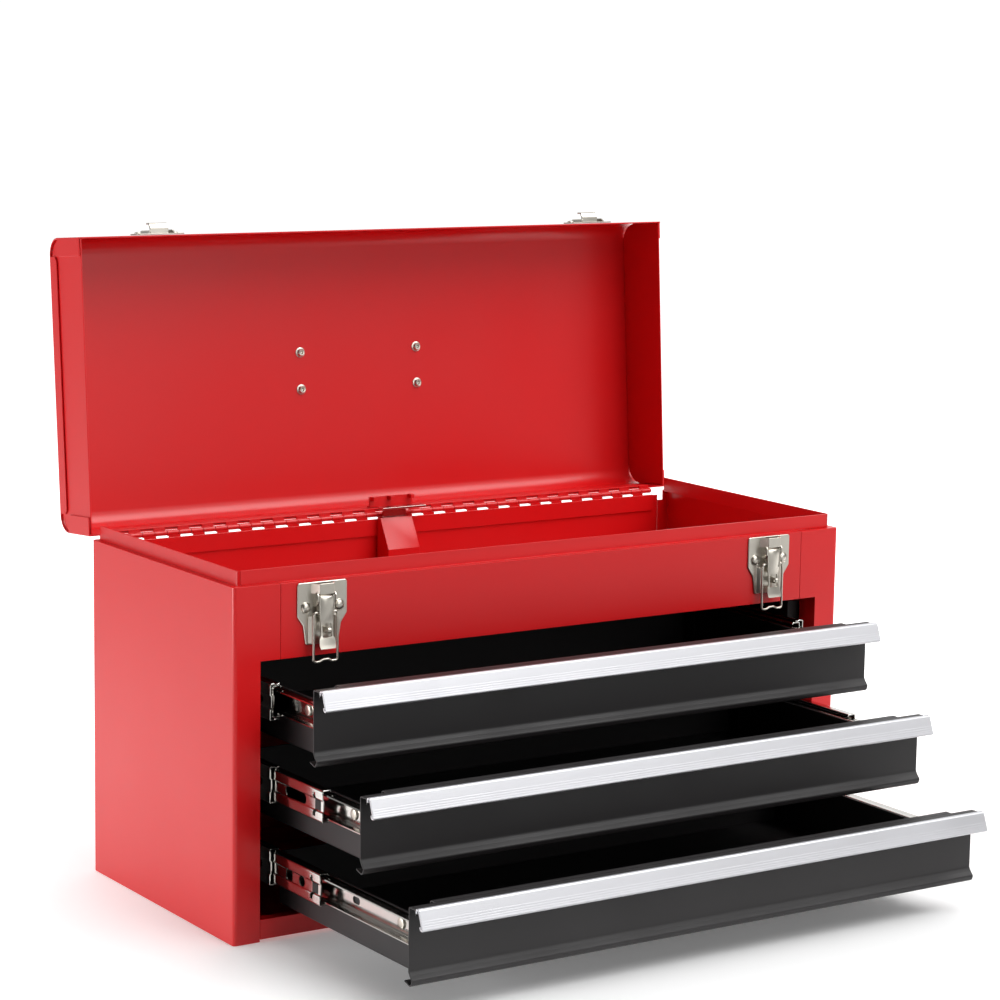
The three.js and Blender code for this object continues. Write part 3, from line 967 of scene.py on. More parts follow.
# ---------- drawers ----------
@dataclass
class Drawer:
    """One drawer: folded front, aluminium pull and hemmed pan."""

    number: int
    sheet: float = 1.0
    hem: float = 7.0
    pull_wall: float = 1.3
    flange_ahead: float = 7.7  # the flange stands this far ahead of the face
    leaf_back: float = 6.5  # the leaf hangs this far behind the face
    tab: float = 15.0  # length of the end panels' welded tabs
    grooves: tuple[float, ...] = (6.4, 8.0, 9.6, 11.0)  # down the pull's face, from its upper edge

    def build(self) -> None:
        """Builds the drawer's pieces."""
        self.body = f"drawer_{self.number}"
        self.front = Span.of(f"drawer_front_{self.number}")
        self.pan = Span.of(f"drawer_box_{self.number}")
        self.face_y = self.front.low.y + self.flange_ahead
        self._front()
        self._pull()
        self._pan()

    def _front(self) -> None:
        """The face with its rolled lip, the flange over its top and the leaf behind."""
        y, z, top, half = self.face_y, self.front.low.z, self.front.high.z, self.front.high.x
        path = [
            (y, top - 0.6), (y, z + 9.6), (y - 1.6, z + 7.2), (y - 4.3, z + 4.4),
            (y - 3.2, z + 1.3), (y - 0.8, z), (y + 5.4, z + 1.9),
        ]
        far = beside(path, self.sheet)
        radii = [0, 3.2, 2.4, 1.7, 1.5, 1.5, 0]
        inner = [0, 2.4, 3.2, 0.8, 0.7, 0.7, 0]
        face = Solid.run(bent(path, radii, 6) + bent(far, inner, 6)[::-1], Axis.X, -half, half)
        lip = y - self.flange_ahead
        flange = folded([(y + 1, top - 4), (y + 1, top), (lip, top), (lip, top - 4)], self.sheet, 0.7, 5)
        leaf_half, leaf_y = self.pan.high.x - 1.4, y + self.leaf_back
        behind = folded([(leaf_y, z + 28), (leaf_y, top - 0.1), (y + 0.3, top - 0.1)], 0.9, 0.6, 5)
        leaf = Solid.run(behind, Axis.X, -leaf_half, leaf_half)
        whole = face.united(Solid.run(flange, Axis.X, -half, half), leaf)
        whole.show(f"{self.body}_face", BLACK_PAINT, self.body, [f"drawer_front_{self.number}"])

    def _pull(self) -> None:
        """The extruded pull: a leaning face with fine grooves, hooked over the flange."""
        y, top, half = self.face_y, self.front.high.z, Span.of(f"drawer_pull_{self.number}").high.x
        high, low = Vector((y - 12, top + 0.4)), Vector((y - 16.4, top - 11.2))
        along = (low - high).normalized()
        inward = Vector((-along.y, along.x))
        face: Outline = []
        for distance in self.grooves:
            for shift, depth in ((-0.28, 0.0), (0.0, 0.06), (0.28, 0.0)):
                face.append(tuple(high + along * (distance + shift) + inward * depth))
        path = [
            (y - 8, top - 2.4), (y - 8, top + 1.1), (y - 11, top + 1.1), tuple(high), *face,
            tuple(low), (y - 15.6, top - 12.4), (y - 13.4, top - 11.9), (y - 12.4, top - 9.8),
        ]
        far = beside([p for p in path if p not in face], self.pull_wall)
        outer = [0, 1.6, 1.2, 1.0] + [0.0] * len(face) + [0.8, 1.1, 0.8, 0]
        inner = [0, 0.3, 0.3, 0.4, 0.4, 0.5, 0.3, 0]
        section = bent(path, outer, 5) + bent(far, inner, 5)[::-1]
        pull = Solid.run(section, Axis.X, -half, half, ease=0.2)
        pull.show(f"{self.body}_pull", ALUMINIUM, self.body, [f"drawer_pull_{self.number}"], crease=24)

    def _pan(self) -> None:
        """The pan: sides hemmed along the top, ends with welded tabs."""
        low, high = self.pan.low, self.pan.high
        half, skin = high.x, self.sheet
        hem_x = half - 2 * skin - 0.1
        path = [
            (-hem_x, high.z - self.hem), (-hem_x, high.z), (-half, high.z), (-half, low.z),
            (half, low.z), (half, high.z), (hem_x, high.z), (hem_x, high.z - self.hem),
        ]
        far = beside(path, skin)
        turns = [0, 0.9, 0.9, 1.4, 1.4, 0.9, 0.9, 0]
        section = bent(path, turns, 4) + bent(far, [0, 0.1, 0.1, 0.5, 0.5, 0.1, 0.1, 0], 4)[::-1]
        pan = Solid.run(section, Axis.Y, low.y, high.y)
        wide = half - skin - 0.05
        for y0, y1 in ((low.y, low.y + skin), (high.y - skin, high.y)):
            pan.beside(box(-wide, wide, y0, y1, low.z + skin + 0.05, high.z - 0.3, 0.2))
        for side in Side:
            x = side.value * wide
            inner = side.value * (wide - 0.9)
            left, right = min(x, inner), max(x, inner)
            near, far_end = low.y + skin + 0.05, high.y - skin - 0.05
            for y0, y1 in ((near, low.y + self.tab), (high.y - self.tab, far_end)):
                pan.beside(box(left, right, y0, y1, low.z + 3, high.z - self.hem - 1.5, 0.2))
        pan.show(f"{self.body}_pan", BLACK_PAINT, self.body, [f"drawer_box_{self.number}"])


# ---------- slides ----------
@dataclass
class SlideRun:
    """A ball-bearing slide: fixed, middle and drawer members with cages, bumper and screws."""

    number: int
    side: Side
    sheet: float = 0.9
    middle_in: float = 2.2  # how far inside the fixed member's web the middle one's is
    ball: float = 0.82
    ball_pitch: float = 8.5
    cage_in: float = 6.0  # how far inside the middle member's web the balls run
    cage_rise: float = 9.0  # height of the balls over the centre line

    def build(self) -> None:
        """Builds the three members and their fittings."""
        self.tail = f"{self.number}_{self.side.label}"
        self.outer = Span.of(f"slide_outer_{self.tail}")
        self.middle = Span.of(f"slide_middle_{self.tail}")
        self.inner = Span.of(f"slide_inner_{self.tail}")
        self.centre = self.outer.middle.z
        self.outer_x = -max(abs(self.outer.low.x), abs(self.outer.high.x))
        self._outer()
        self._middle()
        self._inner()

    def _section(self, half: Outline) -> Outline:
        """A member's section for this side and height.

        Args:
            half: half the sheet's outside, drawn for the left, with z from the centre line.

        Returns:
            The closed outline.
        """
        shape = folded(mirrored(half), self.sheet, 0.45, 4)
        return self.side.across([(x, z + self.centre) for x, z in shape])

    def _punch(self, shape: Outline, x0: float, x1: float) -> Solid:
        """A punch through a web.

        Args:
            shape: its (y, z) outline, with z from the centre line.
            x0: where it starts, drawn for the left.
            x1: where it ends.

        Returns:
            The solid to cut with.
        """
        placed = [(y, z + self.centre) for y, z in shape]
        return Solid.run(placed, Axis.X, -self.side.value * x0, -self.side.value * x1, ease=0)

    def _outer(self) -> None:
        """The member fixed to the cabinet."""
        x = self.outer_x
        half = [(x + 7, 12.6), (x + 5.2, 11.9), (x + 3.6, 12.6), (x, 12.6), (x, 4.6), (x + 1, 3.8)]
        low, high = self.outer.low.y, self.outer.high.y
        member = Solid.run(self._section(half), Axis.Y, low, high)
        holes = [self._punch(circle((low + at, 0), 2.4), x - 3, x + 4) for at in (14, 46, 128, 184)]
        slot = self._punch(rectangle(low + 66, low + 84, -2.2, 2.2, 2.1), x - 3, x + 4)
        member.cut(*holes, slot).show(
            f"fixed_member_{self.tail}", ZINC, "cabinet", [f"slide_outer_{self.tail}"]
        )

    def _middle(self) -> None:
        """The middle member, its ball cages and the bumper in its front end."""
        x = self.outer_x + self.middle_in
        half = [(x + 7.4, 9.4), (x + 6.6, 10.9), (x + 4, 10.9), (x, 10.9), (x, 4.2), (x + 0.8, 3.4)]
        low, high = self.middle.low.y, self.middle.high.y
        member = Solid.run(self._section(half), Axis.Y, low, high)
        window = [
            (low + 9.0, 8.0), (low + 9.0, 5.6), (low + 6.0, 2.8), (low + 6.0, -2.8), (low + 9.0, -5.6),
            (low + 9.0, -8.0), (low + 12.6, -8.0), (low + 12.6, -6.0), (low + 10.2, -2.6),
            (low + 10.2, 2.6), (low + 12.6, 6.0), (low + 12.6, 8.0),
        ]
        punches = [self._punch(window, x - 1, x + 2.6)]
        if self.number == 3:
            punches.append(self._punch(rectangle(low + 20.5, low + 28.5, -3.4, 3.4, 3.3), x - 3, x + 4))
            punches.append(self._punch(rectangle(low + 37, low + 46, -3.4, 3.4, 1.2), x - 3, x + 4))
        else:
            punches.append(self._punch(rectangle(low + 22, low + 50, -3.4, 3.4, 3.3), x - 3, x + 4))
        punches.append(self._punch(circle((high - 30, 0), 2.5), x - 3, x + 4))
        body = f"slide_{self.number}"
        member.cut(*punches).show(f"middle_member_{self.tail}", ZINC, body, [f"slide_middle_{self.tail}"])
        self._bumper(x, low, body)
        self._cages(x, low, high, body)

    def _bumper(self, x: float, low: float, body: str) -> None:
        """The plastic stop inside the middle member's front end, with its pointed catch.

        Args:
            x: outside of the middle member's web, drawn for the left.
            low: its front end.
            body: the body it rides on.
        """
        z = self.centre
        plan = [
            (x + 1.75, low + 12), (x + 1.75, low - 3), (x + 2.6, low - 6),
            (x + 6.4, low - 6), (x + 6.4, low + 12),
        ]
        block = Solid.run(self.side.across(rounded(plan, 0.8)), Axis.Z, z - 6.2, z + 6.2, ease=0.4)
        catch = mirrored([(low - 4, -3.4), (low - 12, -2.2), (low - 19, -0.4)])
        ends = [-self.side.value * (x + inward) for inward in (3.6, 5.6)]
        point = Solid.run(rounded([(y, b + z) for y, b in catch], 0.3), Axis.X, *ends, ease=0.3)
        stub = rectangle(x + 0.5, x + 1.9, low + 3.4, low + 10)
        plug = Solid.run(self.side.across(stub), Axis.Z, z - 3.2, z + 3.2, ease=0.1)
        block.united(point, plug).show(f"bumper_{self.tail}", PLASTIC, body)

    def _cages(self, x: float, low: float, high: float, body: str) -> None:
        """Two strips of balls between the middle and drawer members.

        Args:
            x: outside of the middle member's web, drawn for the left.
            low: its front end.
            high: its back end.
            body: the body they ride on.
        """
        centre_x = x + self.cage_in
        turns = [math.radians(a) for a in range(-75, 90, 30)]
        round_half = [(self.ball * math.cos(t), self.ball * math.sin(t)) for t in turns]
        profile = [(0, -self.ball), *round_half, (0, self.ball)]
        strips = Solid()
        y0, y1 = low + 14, min(low + 86, high - 8)
        for way in (-1, 1):
            z = self.centre + way * self.cage_rise
            outline = self.side.across(rectangle(centre_x - 0.95, centre_x + 0.95, y0, y1, 0.4))
            strips.beside(Solid.run(outline, Axis.Z, z - 0.25, z + 0.25, ease=0.08))
            y = y0 + 3
            while y < y1 - 2:
                place = Vector((-self.side.value * centre_x, y, z))
                strips.beside(Solid.turned(profile, place, UP, 10))
                y += self.ball_pitch
        strips.show(f"ball_cages_{self.tail}", CHROME, body)

    def _inner(self) -> None:
        """The member screwed to the drawer's side."""
        sign = self.side.value
        x = -min(abs(self.inner.low.x), abs(self.inner.high.x))
        half = [(x - 8.2, -8), (x - 5.4, -7.3), (x - 3.4, -8), (x, -8)]
        low, high = self.inner.low.y, self.inner.high.y
        member = Solid.run(self._section(half), Axis.Y, low, high)
        middles = (low + 90, low + 150)
        slots = [self._punch(rectangle(y - 4.5, y + 4.5, -2.4, 2.4, 2.2), x - 3, x + 2) for y in middles]
        body = f"drawer_{self.number}"
        member.cut(*slots).show(f"drawer_member_{self.tail}", ZINC, body, [f"slide_inner_{self.tail}"])
        screws = Solid()
        for at in (33.5, 176):
            place = Vector((-sign * (x - self.sheet), low + at, self.centre))
            screws.beside(Screw(3.9, 1.6).solid(place, Vector((sign, 0, 0))))
        screws.show(f"drawer_member_screws_{self.tail}", NICKEL, body)


# ---------- latches ----------
@dataclass
class Latch:
    """A draw latch: pressed base, lever, wire bail and pin."""

    side: Side
    sheet: float = 1.0
    rivet_x: float = 12.7
    rivet_z: float = 225.0
    pivot: tuple[float, float] = (-112.2, 231.0)  # (y, z) of the lever's pin
    bail_eye: tuple[float, float] = (-112.2, 222.0)  # (y, z) of the holes that the bail turns in
    wire: float = 0.88  # radius of the bail's wire
    bail_half: float = 9.2  # half its width

    def build(self) -> None:
        """Builds the latch."""
        self.tail = self.side.label
        base = Span.of(f"latch_base_{self.tail}")
        self.x = base.middle.x
        self.back = base.high.y
        self.wing = self.back - self.sheet
        self._base()
        self._lever()
        self._bail()
        self._pin()

    def _pin(self) -> None:
        """The lever's pin, with a head at each end."""
        pin = Span.of(f"latch_pin_{self.tail}")
        profile = [
            (0, 0), (1.5, 0), (1.6, 0.15), (1.6, 0.35), (1.0, 0.45),
            (1.0, 14.75), (1.6, 14.85), (1.6, 15.05), (1.5, 15.2), (0, 15.2),
        ]
        rod = Solid.turned(profile, Vector((pin.low.x, pin.middle.y, pin.middle.z)), Vector((1, 0, 0)))
        rod.show(f"latch_{self.tail}_pivot", NICKEL, "cabinet", [f"latch_pin_{self.tail}"])

    def _base(self) -> None:
        """The base: wings, raised centre, ears, staple and rivets."""
        x, wing = self.x, self.wing
        half = [(19, 242), (19, 219.5), (14.5, 213), (12.5, 199.8)]
        outline = [(x + a, z) for a, z in half] + [(x - a, z) for a, z in half[::-1]]
        plate = Solid.run(rounded(outline, 1.8, 5), Axis.Y, wing, self.back, ease=0.4)
        boss = folded(
            [(x - 8.2, wing + 0.6), (x - 4.9, wing - 5.6), (x + 4.9, wing - 5.6), (x + 8.2, wing + 0.6)],
            -0.9, 0.7, 4,
        )
        raised = Solid.run(boss, Axis.Z, 234.4, 241.6, ease=0.2)
        lower = folded(
            [(x - 10.4, wing + 0.5), (x - 8.8, wing - 1.3), (x + 8.8, wing - 1.3), (x + 10.4, wing + 0.5)],
            -0.8, 0.5, 3,
        )
        rib = Solid.run(lower, Axis.Z, 200.6, 219.5, ease=0.3)
        parts = [raised, rib]
        for way in (-1, 1):
            ear = rounded(
                [(self.back - 0.5, 226), (self.back - 0.5, 235.4), (-113.2, 235.4), (-114.4, 233.6),
                 (-114.4, 229.6), (-111.5, 226)], 0.8,
            )
            bore = circle(self.pivot, 1.25, 16)
            parts.append(Solid.run(ear, Axis.X, x + way * 6.25, x + way * 7.15, [bore], ease=0.12))
        hook = rounded(
            [(self.back - 0.5, 208), (-116.4, 208), (-118, 209.3), (-118, 211.2), (-117, 212),
             (self.back - 0.5, 212)], 0.5,
        )
        staple = Solid.run(hook, Axis.X, x - 1.3, x + 1.3, [circle((-116, 210), 0.95, 14)], ease=0.2)
        whole = plate.united(*parts, staple)
        whole.show(f"latch_{self.tail}_base", NICKEL, "cabinet", [f"latch_base_{self.tail}"], crease=28)
        washer = [(3.5, -0.2), (4.1, -0.2), (4.1, 0.1), (3.8, 0.3), (3.5, 0.1)]
        rivets = Solid()
        for way in (-1, 1):
            place = Vector((x + way * self.rivet_x, wing, self.rivet_z))
            rivets.beside(Rivet(3.3, 1.9).solid(place, AHEAD))
            rivets.beside(Solid.hoop(washer, place, AHEAD))
        rivets.show(f"latch_{self.tail}_rivets", NICKEL, "cabinet")

    def _lever(self) -> None:
        """The lever: a crowned tongue with a window for the staple, and two cheeks."""
        rows = [
            (233.6, 3.6, -112.4, 0.4), (233.0, 4.4, -113.7, 0.6), (231.2, 4.9, -114.6, 1.0),
            (226.0, 5.2, -114.9, 1.3), (220.5, 5.3, -114.6, 1.1), (216.5, 4.9, -114.2, 0.7),
            (212.5, 4.5, -114.2, 0.4), (206.5, 4.7, -114.6, 0.3), (203.9, 5.9, -115.0, 0.2),
            (200.0, 6.1, -115.7, 0.2), (197.7, 5.6, -116.4, 0.2),
        ]
        rings = []
        for z, half, y, crown in smoothed(rows, 4):
            front = [(half * k / 5, y + crown * (k / 5) ** 2) for k in range(-5, 6)]
            ring = front + [(a * 0.97, b + 1.1) for a, b in front[::-1]]
            rings.append([Vector((self.x + a, b, z)) for a, b in ring])
        tongue = Solid.lofted(rings)
        window = rectangle(self.x - 3.5, self.x + 3.5, 205.0, 214.6, 1.2)
        tongue = tongue.cut(Solid.run(window, Axis.Y, -120, -110, ease=0))
        cheek = rounded(
            [(-114.3, 219.4), (-110.8, 219.4), (-110.2, 222), (-110.2, 231),
             (-110.8, 233.4), (-113.8, 233.6)], 0.5,
        )
        bores = [circle(self.pivot, 1.25, 16), circle(self.bail_eye, 1.15, 16)]
        cheeks = []
        for way in (-1, 1):
            near, far = self.x + way * 4.85, self.x + way * 5.75
            cheeks.append(Solid.run(cheek, Axis.X, near, far, bores, ease=0.1))
        tongue.united(*cheeks).show(
            f"latch_{self.tail}_lever", NICKEL, f"lever_{self.tail}", [f"latch_lever_{self.tail}"], crease=40
        )

    def _bail(self) -> None:
        """The sprung wire loop, dented upwards in the middle of its foot."""
        node = Span.of(f"latch_bail_{self.tail}")
        half, low, high, y = self.bail_half, node.low.z + 0.9, node.high.z - 0.9, node.middle.y
        path = [
            (-4.9, high), (-8.6, high), (-half, high - 4), (-half, low), (-4.6, low), (-2.2, low + 1.3),
            (2.2, low + 1.3), (4.6, low), (half, low), (half, high - 4), (8.6, high), (4.9, high),
        ]
        radii = [0, 1.4, 1.6, 1.8, 2, 2, 2, 2, 1.8, 1.6, 1.4, 0]
        line = [Vector((self.x + a, y, z)) for a, z in bent(path, radii, 6)]
        Solid.wire(line, self.wire, 14).show(
            f"latch_{self.tail}_bail", NICKEL, f"bail_{self.tail}", [f"latch_bail_{self.tail}"], crease=50
        )


# ---------- lid ----------
@dataclass
class Lid:
    """The lid, drawn shut and then turned open about the hinge."""

    sheet: float = 1.0
    radius: float = 13.0
    lip: float = 13.0
    crown: float = 10.5  # depth of the lip along the top
    foot: float = 243.3
    back_foot: float = 245.1
    top: float = 293.0
    gap: float = 0.3

    def build(self) -> None:
        """Builds the lid and all that is fixed to it."""
        self.turn = lid_turn()
        self.half = Span.of("lid_shell").high.x
        self.deep = Span.of("side_panel_left").high.y
        self._wrapper()
        self._ends()
        for side in Side:
            Strike(side, self.turn).build()
        Handle(self.turn, self.top + self.gap).build()

    def _profile(self, inset: float, radius: float) -> Outline:
        """The lid's section, from back foot to front foot.

        Args:
            inset: how far it is shrunk.
            radius: of the two rounded edges.

        Returns:
            The outline, whose closing side is the open foot.
        """
        y, top = self.deep - inset, self.top - inset
        return [
            (y, self.back_foot),
            *arc((y - radius, top - radius), radius, 0, 90, 16),
            *arc((-y + radius, top - radius), radius, 90, 180, 16),
            (-y, self.foot),
        ]

    def _wrapper(self) -> None:
        """The folded wrapper with three lips turned in over each end."""
        outer, inner = self._profile(0, self.radius), self._profile(self.sheet, self.radius - self.sheet)
        wrapper = Solid.run(outer + inner[::-1], Axis.X, -self.half, self.half, ease=0.3)
        lips = []
        y, r = self.deep - self.sheet / 2, self.radius
        z0, z1 = self.foot + 0.6, self.top - self.sheet / 2
        for side in Side:
            ends = [side.value * self.half, side.value * (self.half - self.sheet)]
            for way in (-1, 1):
                foot = z0 if way < 0 else self.back_foot + 0.6
                wall = rounded(
                    [(way * y, foot), (way * (y - self.lip), foot), (way * (y - self.lip), z1 - r - 2.5),
                     (way * (y - self.lip + 3), z1 - r + 0.5), (way * y, z1 - r + 0.5)], 0.8,
                )
                lips.append(Solid.run(wall, Axis.X, *ends, ease=0.2))
            crown = rounded(
                [(-y + r, z1), (-y + r, z1 - self.crown + 3), (-y + r + 3, z1 - self.crown),
                 (y - r - 3, z1 - self.crown), (y - r, z1 - self.crown + 3), (y - r, z1)], 1.2,
            )
            lips.append(Solid.run(crown, Axis.X, *ends, ease=0.2))
        wrapper.united(*lips).show("lid_wrapper", RED_PAINT, "lid", ["lid_shell"], self.turn)

    def _ends(self) -> None:
        """The end panels behind the lips, cut back at the corners."""
        inset = self.sheet + self.gap
        outline = self._profile(inset, self.radius + 1.6)
        for side in Side:
            outside = side.value * (self.half - inset)
            inside = side.value * (self.half - inset - self.sheet)
            panel = Solid.run(outline, Axis.X, outside, inside, ease=0.2)
            panel.show(f"lid_end_panel_{side.label}", RED_PAINT, "lid", [f"lid_end_{side.label}"], self.turn)


def lid_hinge() -> dict[str, Any]:
    """The lid's hinge, as the record has it."""
    return next(joint for joint in FRAME["joints"] if joint["name"] == "lid_hinge")


def lid_turn() -> Matrix:
    """The turn that takes the lid from shut to its rest pose.

    Returns:
        The turn about the hinge, in millimetres.
    """
    hinge = lid_hinge()
    pivot = Matrix.Translation(Vector(hinge["pos_m"]) / MM)
    shut = math.radians(hinge["range_deg"][1])
    return pivot @ Matrix.Rotation(-shut, 4, Vector(hinge["axis"])) @ pivot.inverted()


@dataclass
class Strike:
    """The part of a latch on the lid: a plate with a lanced hook."""

    side: Side
    turn: Matrix
    foot: float = 243.8
    head: float = 258.0
    half: float = 19.0
    ahead: float = 0.3  # how far the plate's back is ahead of the cabinet's front
    rivet_x: float = 14.6

    def build(self) -> None:
        """Builds the strike and its rivets."""
        x = Span.of(f"catch_{self.side.label}").middle.x
        y = Span.of("side_panel_left").low.y - self.ahead
        low = self.foot - 0.5
        outline = rectangle(x - self.half, x + self.half, self.foot, self.head, 2.2)
        window = rectangle(x - 5.4, x + 5.4, low + 6.2, low + 11.6, 0.8)
        plate = Solid.run(outline, Axis.Y, y - 1, y, [window], ease=0.35)
        path = [(y - 0.4, low + 4.2), (y - 5, low + 4.2), (y - 8.6, low + 6.4), (y - 8.6, low + 10.6)]
        hook = Solid.run(folded(path[::-1], 1.2, 1.2, 6), Axis.X, x - 7.4, x + 7.4, ease=0.3)
        parts = [hook]
        for way in (-1, 1):
            wall = folded(
                [(x + way * 11.2, y - 0.5), (x + way * 9.9, y - 3.2), (x + way * 8.4, y - 3.4)],
                -0.9 * way, 0.5, 3,
            )
            parts.append(Solid.run(wall, Axis.Z, self.foot + 0.2, self.head - 0.3, ease=0.2))
        plate.united(*parts).show(
            f"strike_{self.side.label}", NICKEL, "lid", [f"catch_{self.side.label}"], self.turn, crease=28
        )
        rivets = Solid()
        for way in (-1, 1):
            place = Vector((x + way * self.rivet_x, y - 1, low + 9.6))
            rivets.beside(Rivet(2.6, 1.4).solid(place, AHEAD))
        rivets.show(f"strike_{self.side.label}_rivets", NICKEL, "lid", place=self.turn)


@dataclass
class Handle:
    """The carrying handle: grained grip and two chromed brackets, riveted through the lid."""

    turn: Matrix
    seat: float
    bracket_x: float = 51.7
    bracket_sheet: float = 1.2
    rivet_rows: tuple[float, float] = (-14.8, 13.4)
    grip_sides: int = 28
    squareness: float = 0.7  # 1 would make the grip's section an ellipse, and nought a box

    def build(self) -> None:
        """Builds the handle."""
        for side in Side:
            self._bracket(side)
        self._grip()
        self._rivets()

    def _bracket(self, side: Side) -> None:
        """A pressed loop, flared towards the middle of the handle.

        Args:
            side: which of the two.
        """
        x, z = side.value * self.bracket_x, self.seat
        stations = [(-8.0, 0.98), (-5.0, 1.0), (1.0, 1.0), (4.5, 1.01), (6.4, 1.04), (7.4, 1.09), (8.0, 1.16)]
        rings = []
        for along, grow in stations:
            path = [
                (-20, z), (-10.4 * grow, z), (-10.2 * grow, z + 10), (-7.6 * grow, z + 13.8 * grow),
                (7.6 * grow, z + 13.8 * grow), (10.2 * grow, z + 10), (10.4 * grow, z), (20, z),
            ]
            near = [0, 0.8, 3.0, 3.6, 3.6, 3.0, 0.8, 0]
            far = [0, 2.0, 1.8, 2.4, 2.4, 1.8, 2.0, 0]
            section = bent(path, near, 6) + bent(beside(path, self.bracket_sheet), far, 6)[::-1]
            rings.append([Vector((x - side.value * along, y, z)) for y, z in section])
        Solid.lofted(rings).show(
            f"handle_loop_{side.label}", CHROME, "lid", [f"handle_bracket_{side.label}"], self.turn, crease=40
        )

    def _grip(self) -> None:
        """The arched grip: thin where it passes the brackets, with broad ends."""
        z = self.seat
        rows = [
            (68.0, 2.2, 4.6, 8.0), (67.2, 0.9, 6.3, 9.8), (64.0, 0.5, 7.0, 10.4), (60.8, 0.5, 6.6, 9.6),
            (58.0, 0.5, 5.8, 8.5), (50.0, 0.5, 5.8, 8.4), (45.0, 0.8, 6.8, 8.4), (40.5, 2.6, 10.4, 8.6),
            (36.5, 6.8, 15.8, 8.9), (31.0, 11.0, 20.2, 9.2), (22.0, 13.9, 23.2, 9.6), (10.0, 15.0, 24.2, 9.9),
            (0.0, 15.2, 24.4, 10.0),
        ]
        half = smoothed(rows, 4)
        full = half + [[-x, *rest] for x, *rest in half[-2::-1]]
        rings = []
        for x, low, high, wide in full:
            ring = []
            for across, upward in circle((0, 0), 1.0, self.grip_sides):
                a = math.copysign(abs(across) ** self.squareness, across)
                b = math.copysign(abs(upward) ** self.squareness, upward)
                ring.append(Vector((x, wide * a, z + (low + high) / 2 + (high - low) / 2 * b)))
            rings.append(ring)
        Solid.lofted(rings).show("handle_strap", VINYL, "handle", ["handle_grip"], self.turn, crease=60)

    def _rivets(self) -> None:
        """Rivet heads on the feet, and the set ends with their washers inside the lid."""
        set_end = [
            (0, -0.2), (3.9, -0.2), (3.9, 0.5), (2.9, 0.8), (2.75, 2.1),
            (2.2, 2.7), (1.5, 2.6), (1.0, 1.2), (0, 1.0),
        ]
        heads, tails = Solid(), Solid()
        for side in Side:
            for y in self.rivet_rows:
                place = Vector((side.value * self.bracket_x, y, self.seat + self.bracket_sheet))
                heads.beside(Rivet(2.4, 1.2).solid(place, UP))
                tails.beside(Solid.turned(set_end, Vector((place.x, y, self.seat - 1.3)), -UP))
        heads.show("handle_rivet_heads", CHROME, "lid", place=self.turn)
        tails.show("handle_rivet_tails", NICKEL, "lid", place=self.turn)


# ---------- hinge ----------
@dataclass
class PianoHinge:
    """The long hinge: two leaves with rolled knuckles on one pin."""

    pitch: float = 9.85
    count: int = 48
    outer: float = 2.0
    wall: float = 0.7
    gap: float = 0.3
    curl: float = 238.0  # degree at which a knuckle ends, where -90 is straight below the pin
    below: float = 0.8  # from the knuckles down to the fixed leaf
    lid_foot: float = 245.1  # the moving leaf's lower and upper edges, with the lid shut
    lid_head: float = 257.1
    rod: float = 1.0

    def build(self) -> None:
        """Builds both leaves and the pin."""
        self.y, self.z = (value / MM for value in lid_hinge()["pos_m"][1:])
        pin = Span.of("hinge_pin")
        self.left = pin.low.x + 1
        fixed = Span.of("hinge_leaf_cabinet")
        leaf_y = fixed.low.y
        low = self._leaf(0, leaf_y, fixed.low.z, self.z - self.outer - self.below)
        low.show("hinge_fixed_leaf", RED_PAINT, "cabinet", ["hinge_leaf_cabinet"], crease=40)
        flip = Matrix.Translation((0, 0, 2 * self.z)) @ Matrix.Scale(-1, 4, UP)
        high = self._leaf(1, leaf_y, 2 * self.z - self.lid_head, 2 * self.z - self.lid_foot)
        high.moved(flip).show(
            "hinge_moving_leaf", RED_PAINT, "lid", ["hinge_leaf_lid"], lid_turn(), crease=40
        )
        length, r, eased = pin.high.x - pin.low.x, self.rod, self.rod - 0.2
        profile = [(0, 0), (eased, 0), (r, 0.2), (r, length - 0.2), (eased, length), (0, length)]
        Solid.turned(profile, Vector((pin.low.x, self.y, self.z)), Vector((1, 0, 0)), 16).show(
            "hinge_rod", ZINC, "cabinet", ["hinge_pin"], crease=40
        )

    def _leaf(self, first: int, y: float, low: float, high: float) -> Solid:
        """A leaf below the pin with every second knuckle.

        Args:
            first: which knuckle it starts on.
            y: its inner face.
            low: its free edge.
            high: its edge at the knuckles.

        Returns:
            The solid.
        """
        right = self.left + self.pitch * self.count
        leaf = box(self.left, right, y - 0.02, y + 1.02, low, high, 0.2)
        under = self.z - self.outer
        strap = [
            (y + 1, high - 0.6), (y + 1, under),
            *arc((self.y, self.z), self.outer, -90, self.curl, 26),
        ]
        section = bent(strap, [0, 0.9] + [0] * (len(strap) - 2), 4)
        section += beside(strap, self.wall)[::-1]
        for i in range(first, self.count, 2):
            x0 = self.left + self.pitch * i + self.gap / 2
            leaf.beside(Solid.run(section, Axis.X, x0, x0 + self.pitch - self.gap, ease=0.12))
        return leaf


# ---------- drawer lock ----------
@dataclass
class DrawerLock:
    """The lock: cover, sliding bar and the bracket in the lid that works it."""

    cover_edge: float = 0.4
    strip_edge: float = 0.25

    def build(self) -> None:
        """Dresses the three parts."""
        dress("lock_cover", RED_PAINT, self.cover_edge)
        dress("lock_pusher", RED_PAINT, self.strip_edge)
        dress("lock_bar", ZINC, self.strip_edge)


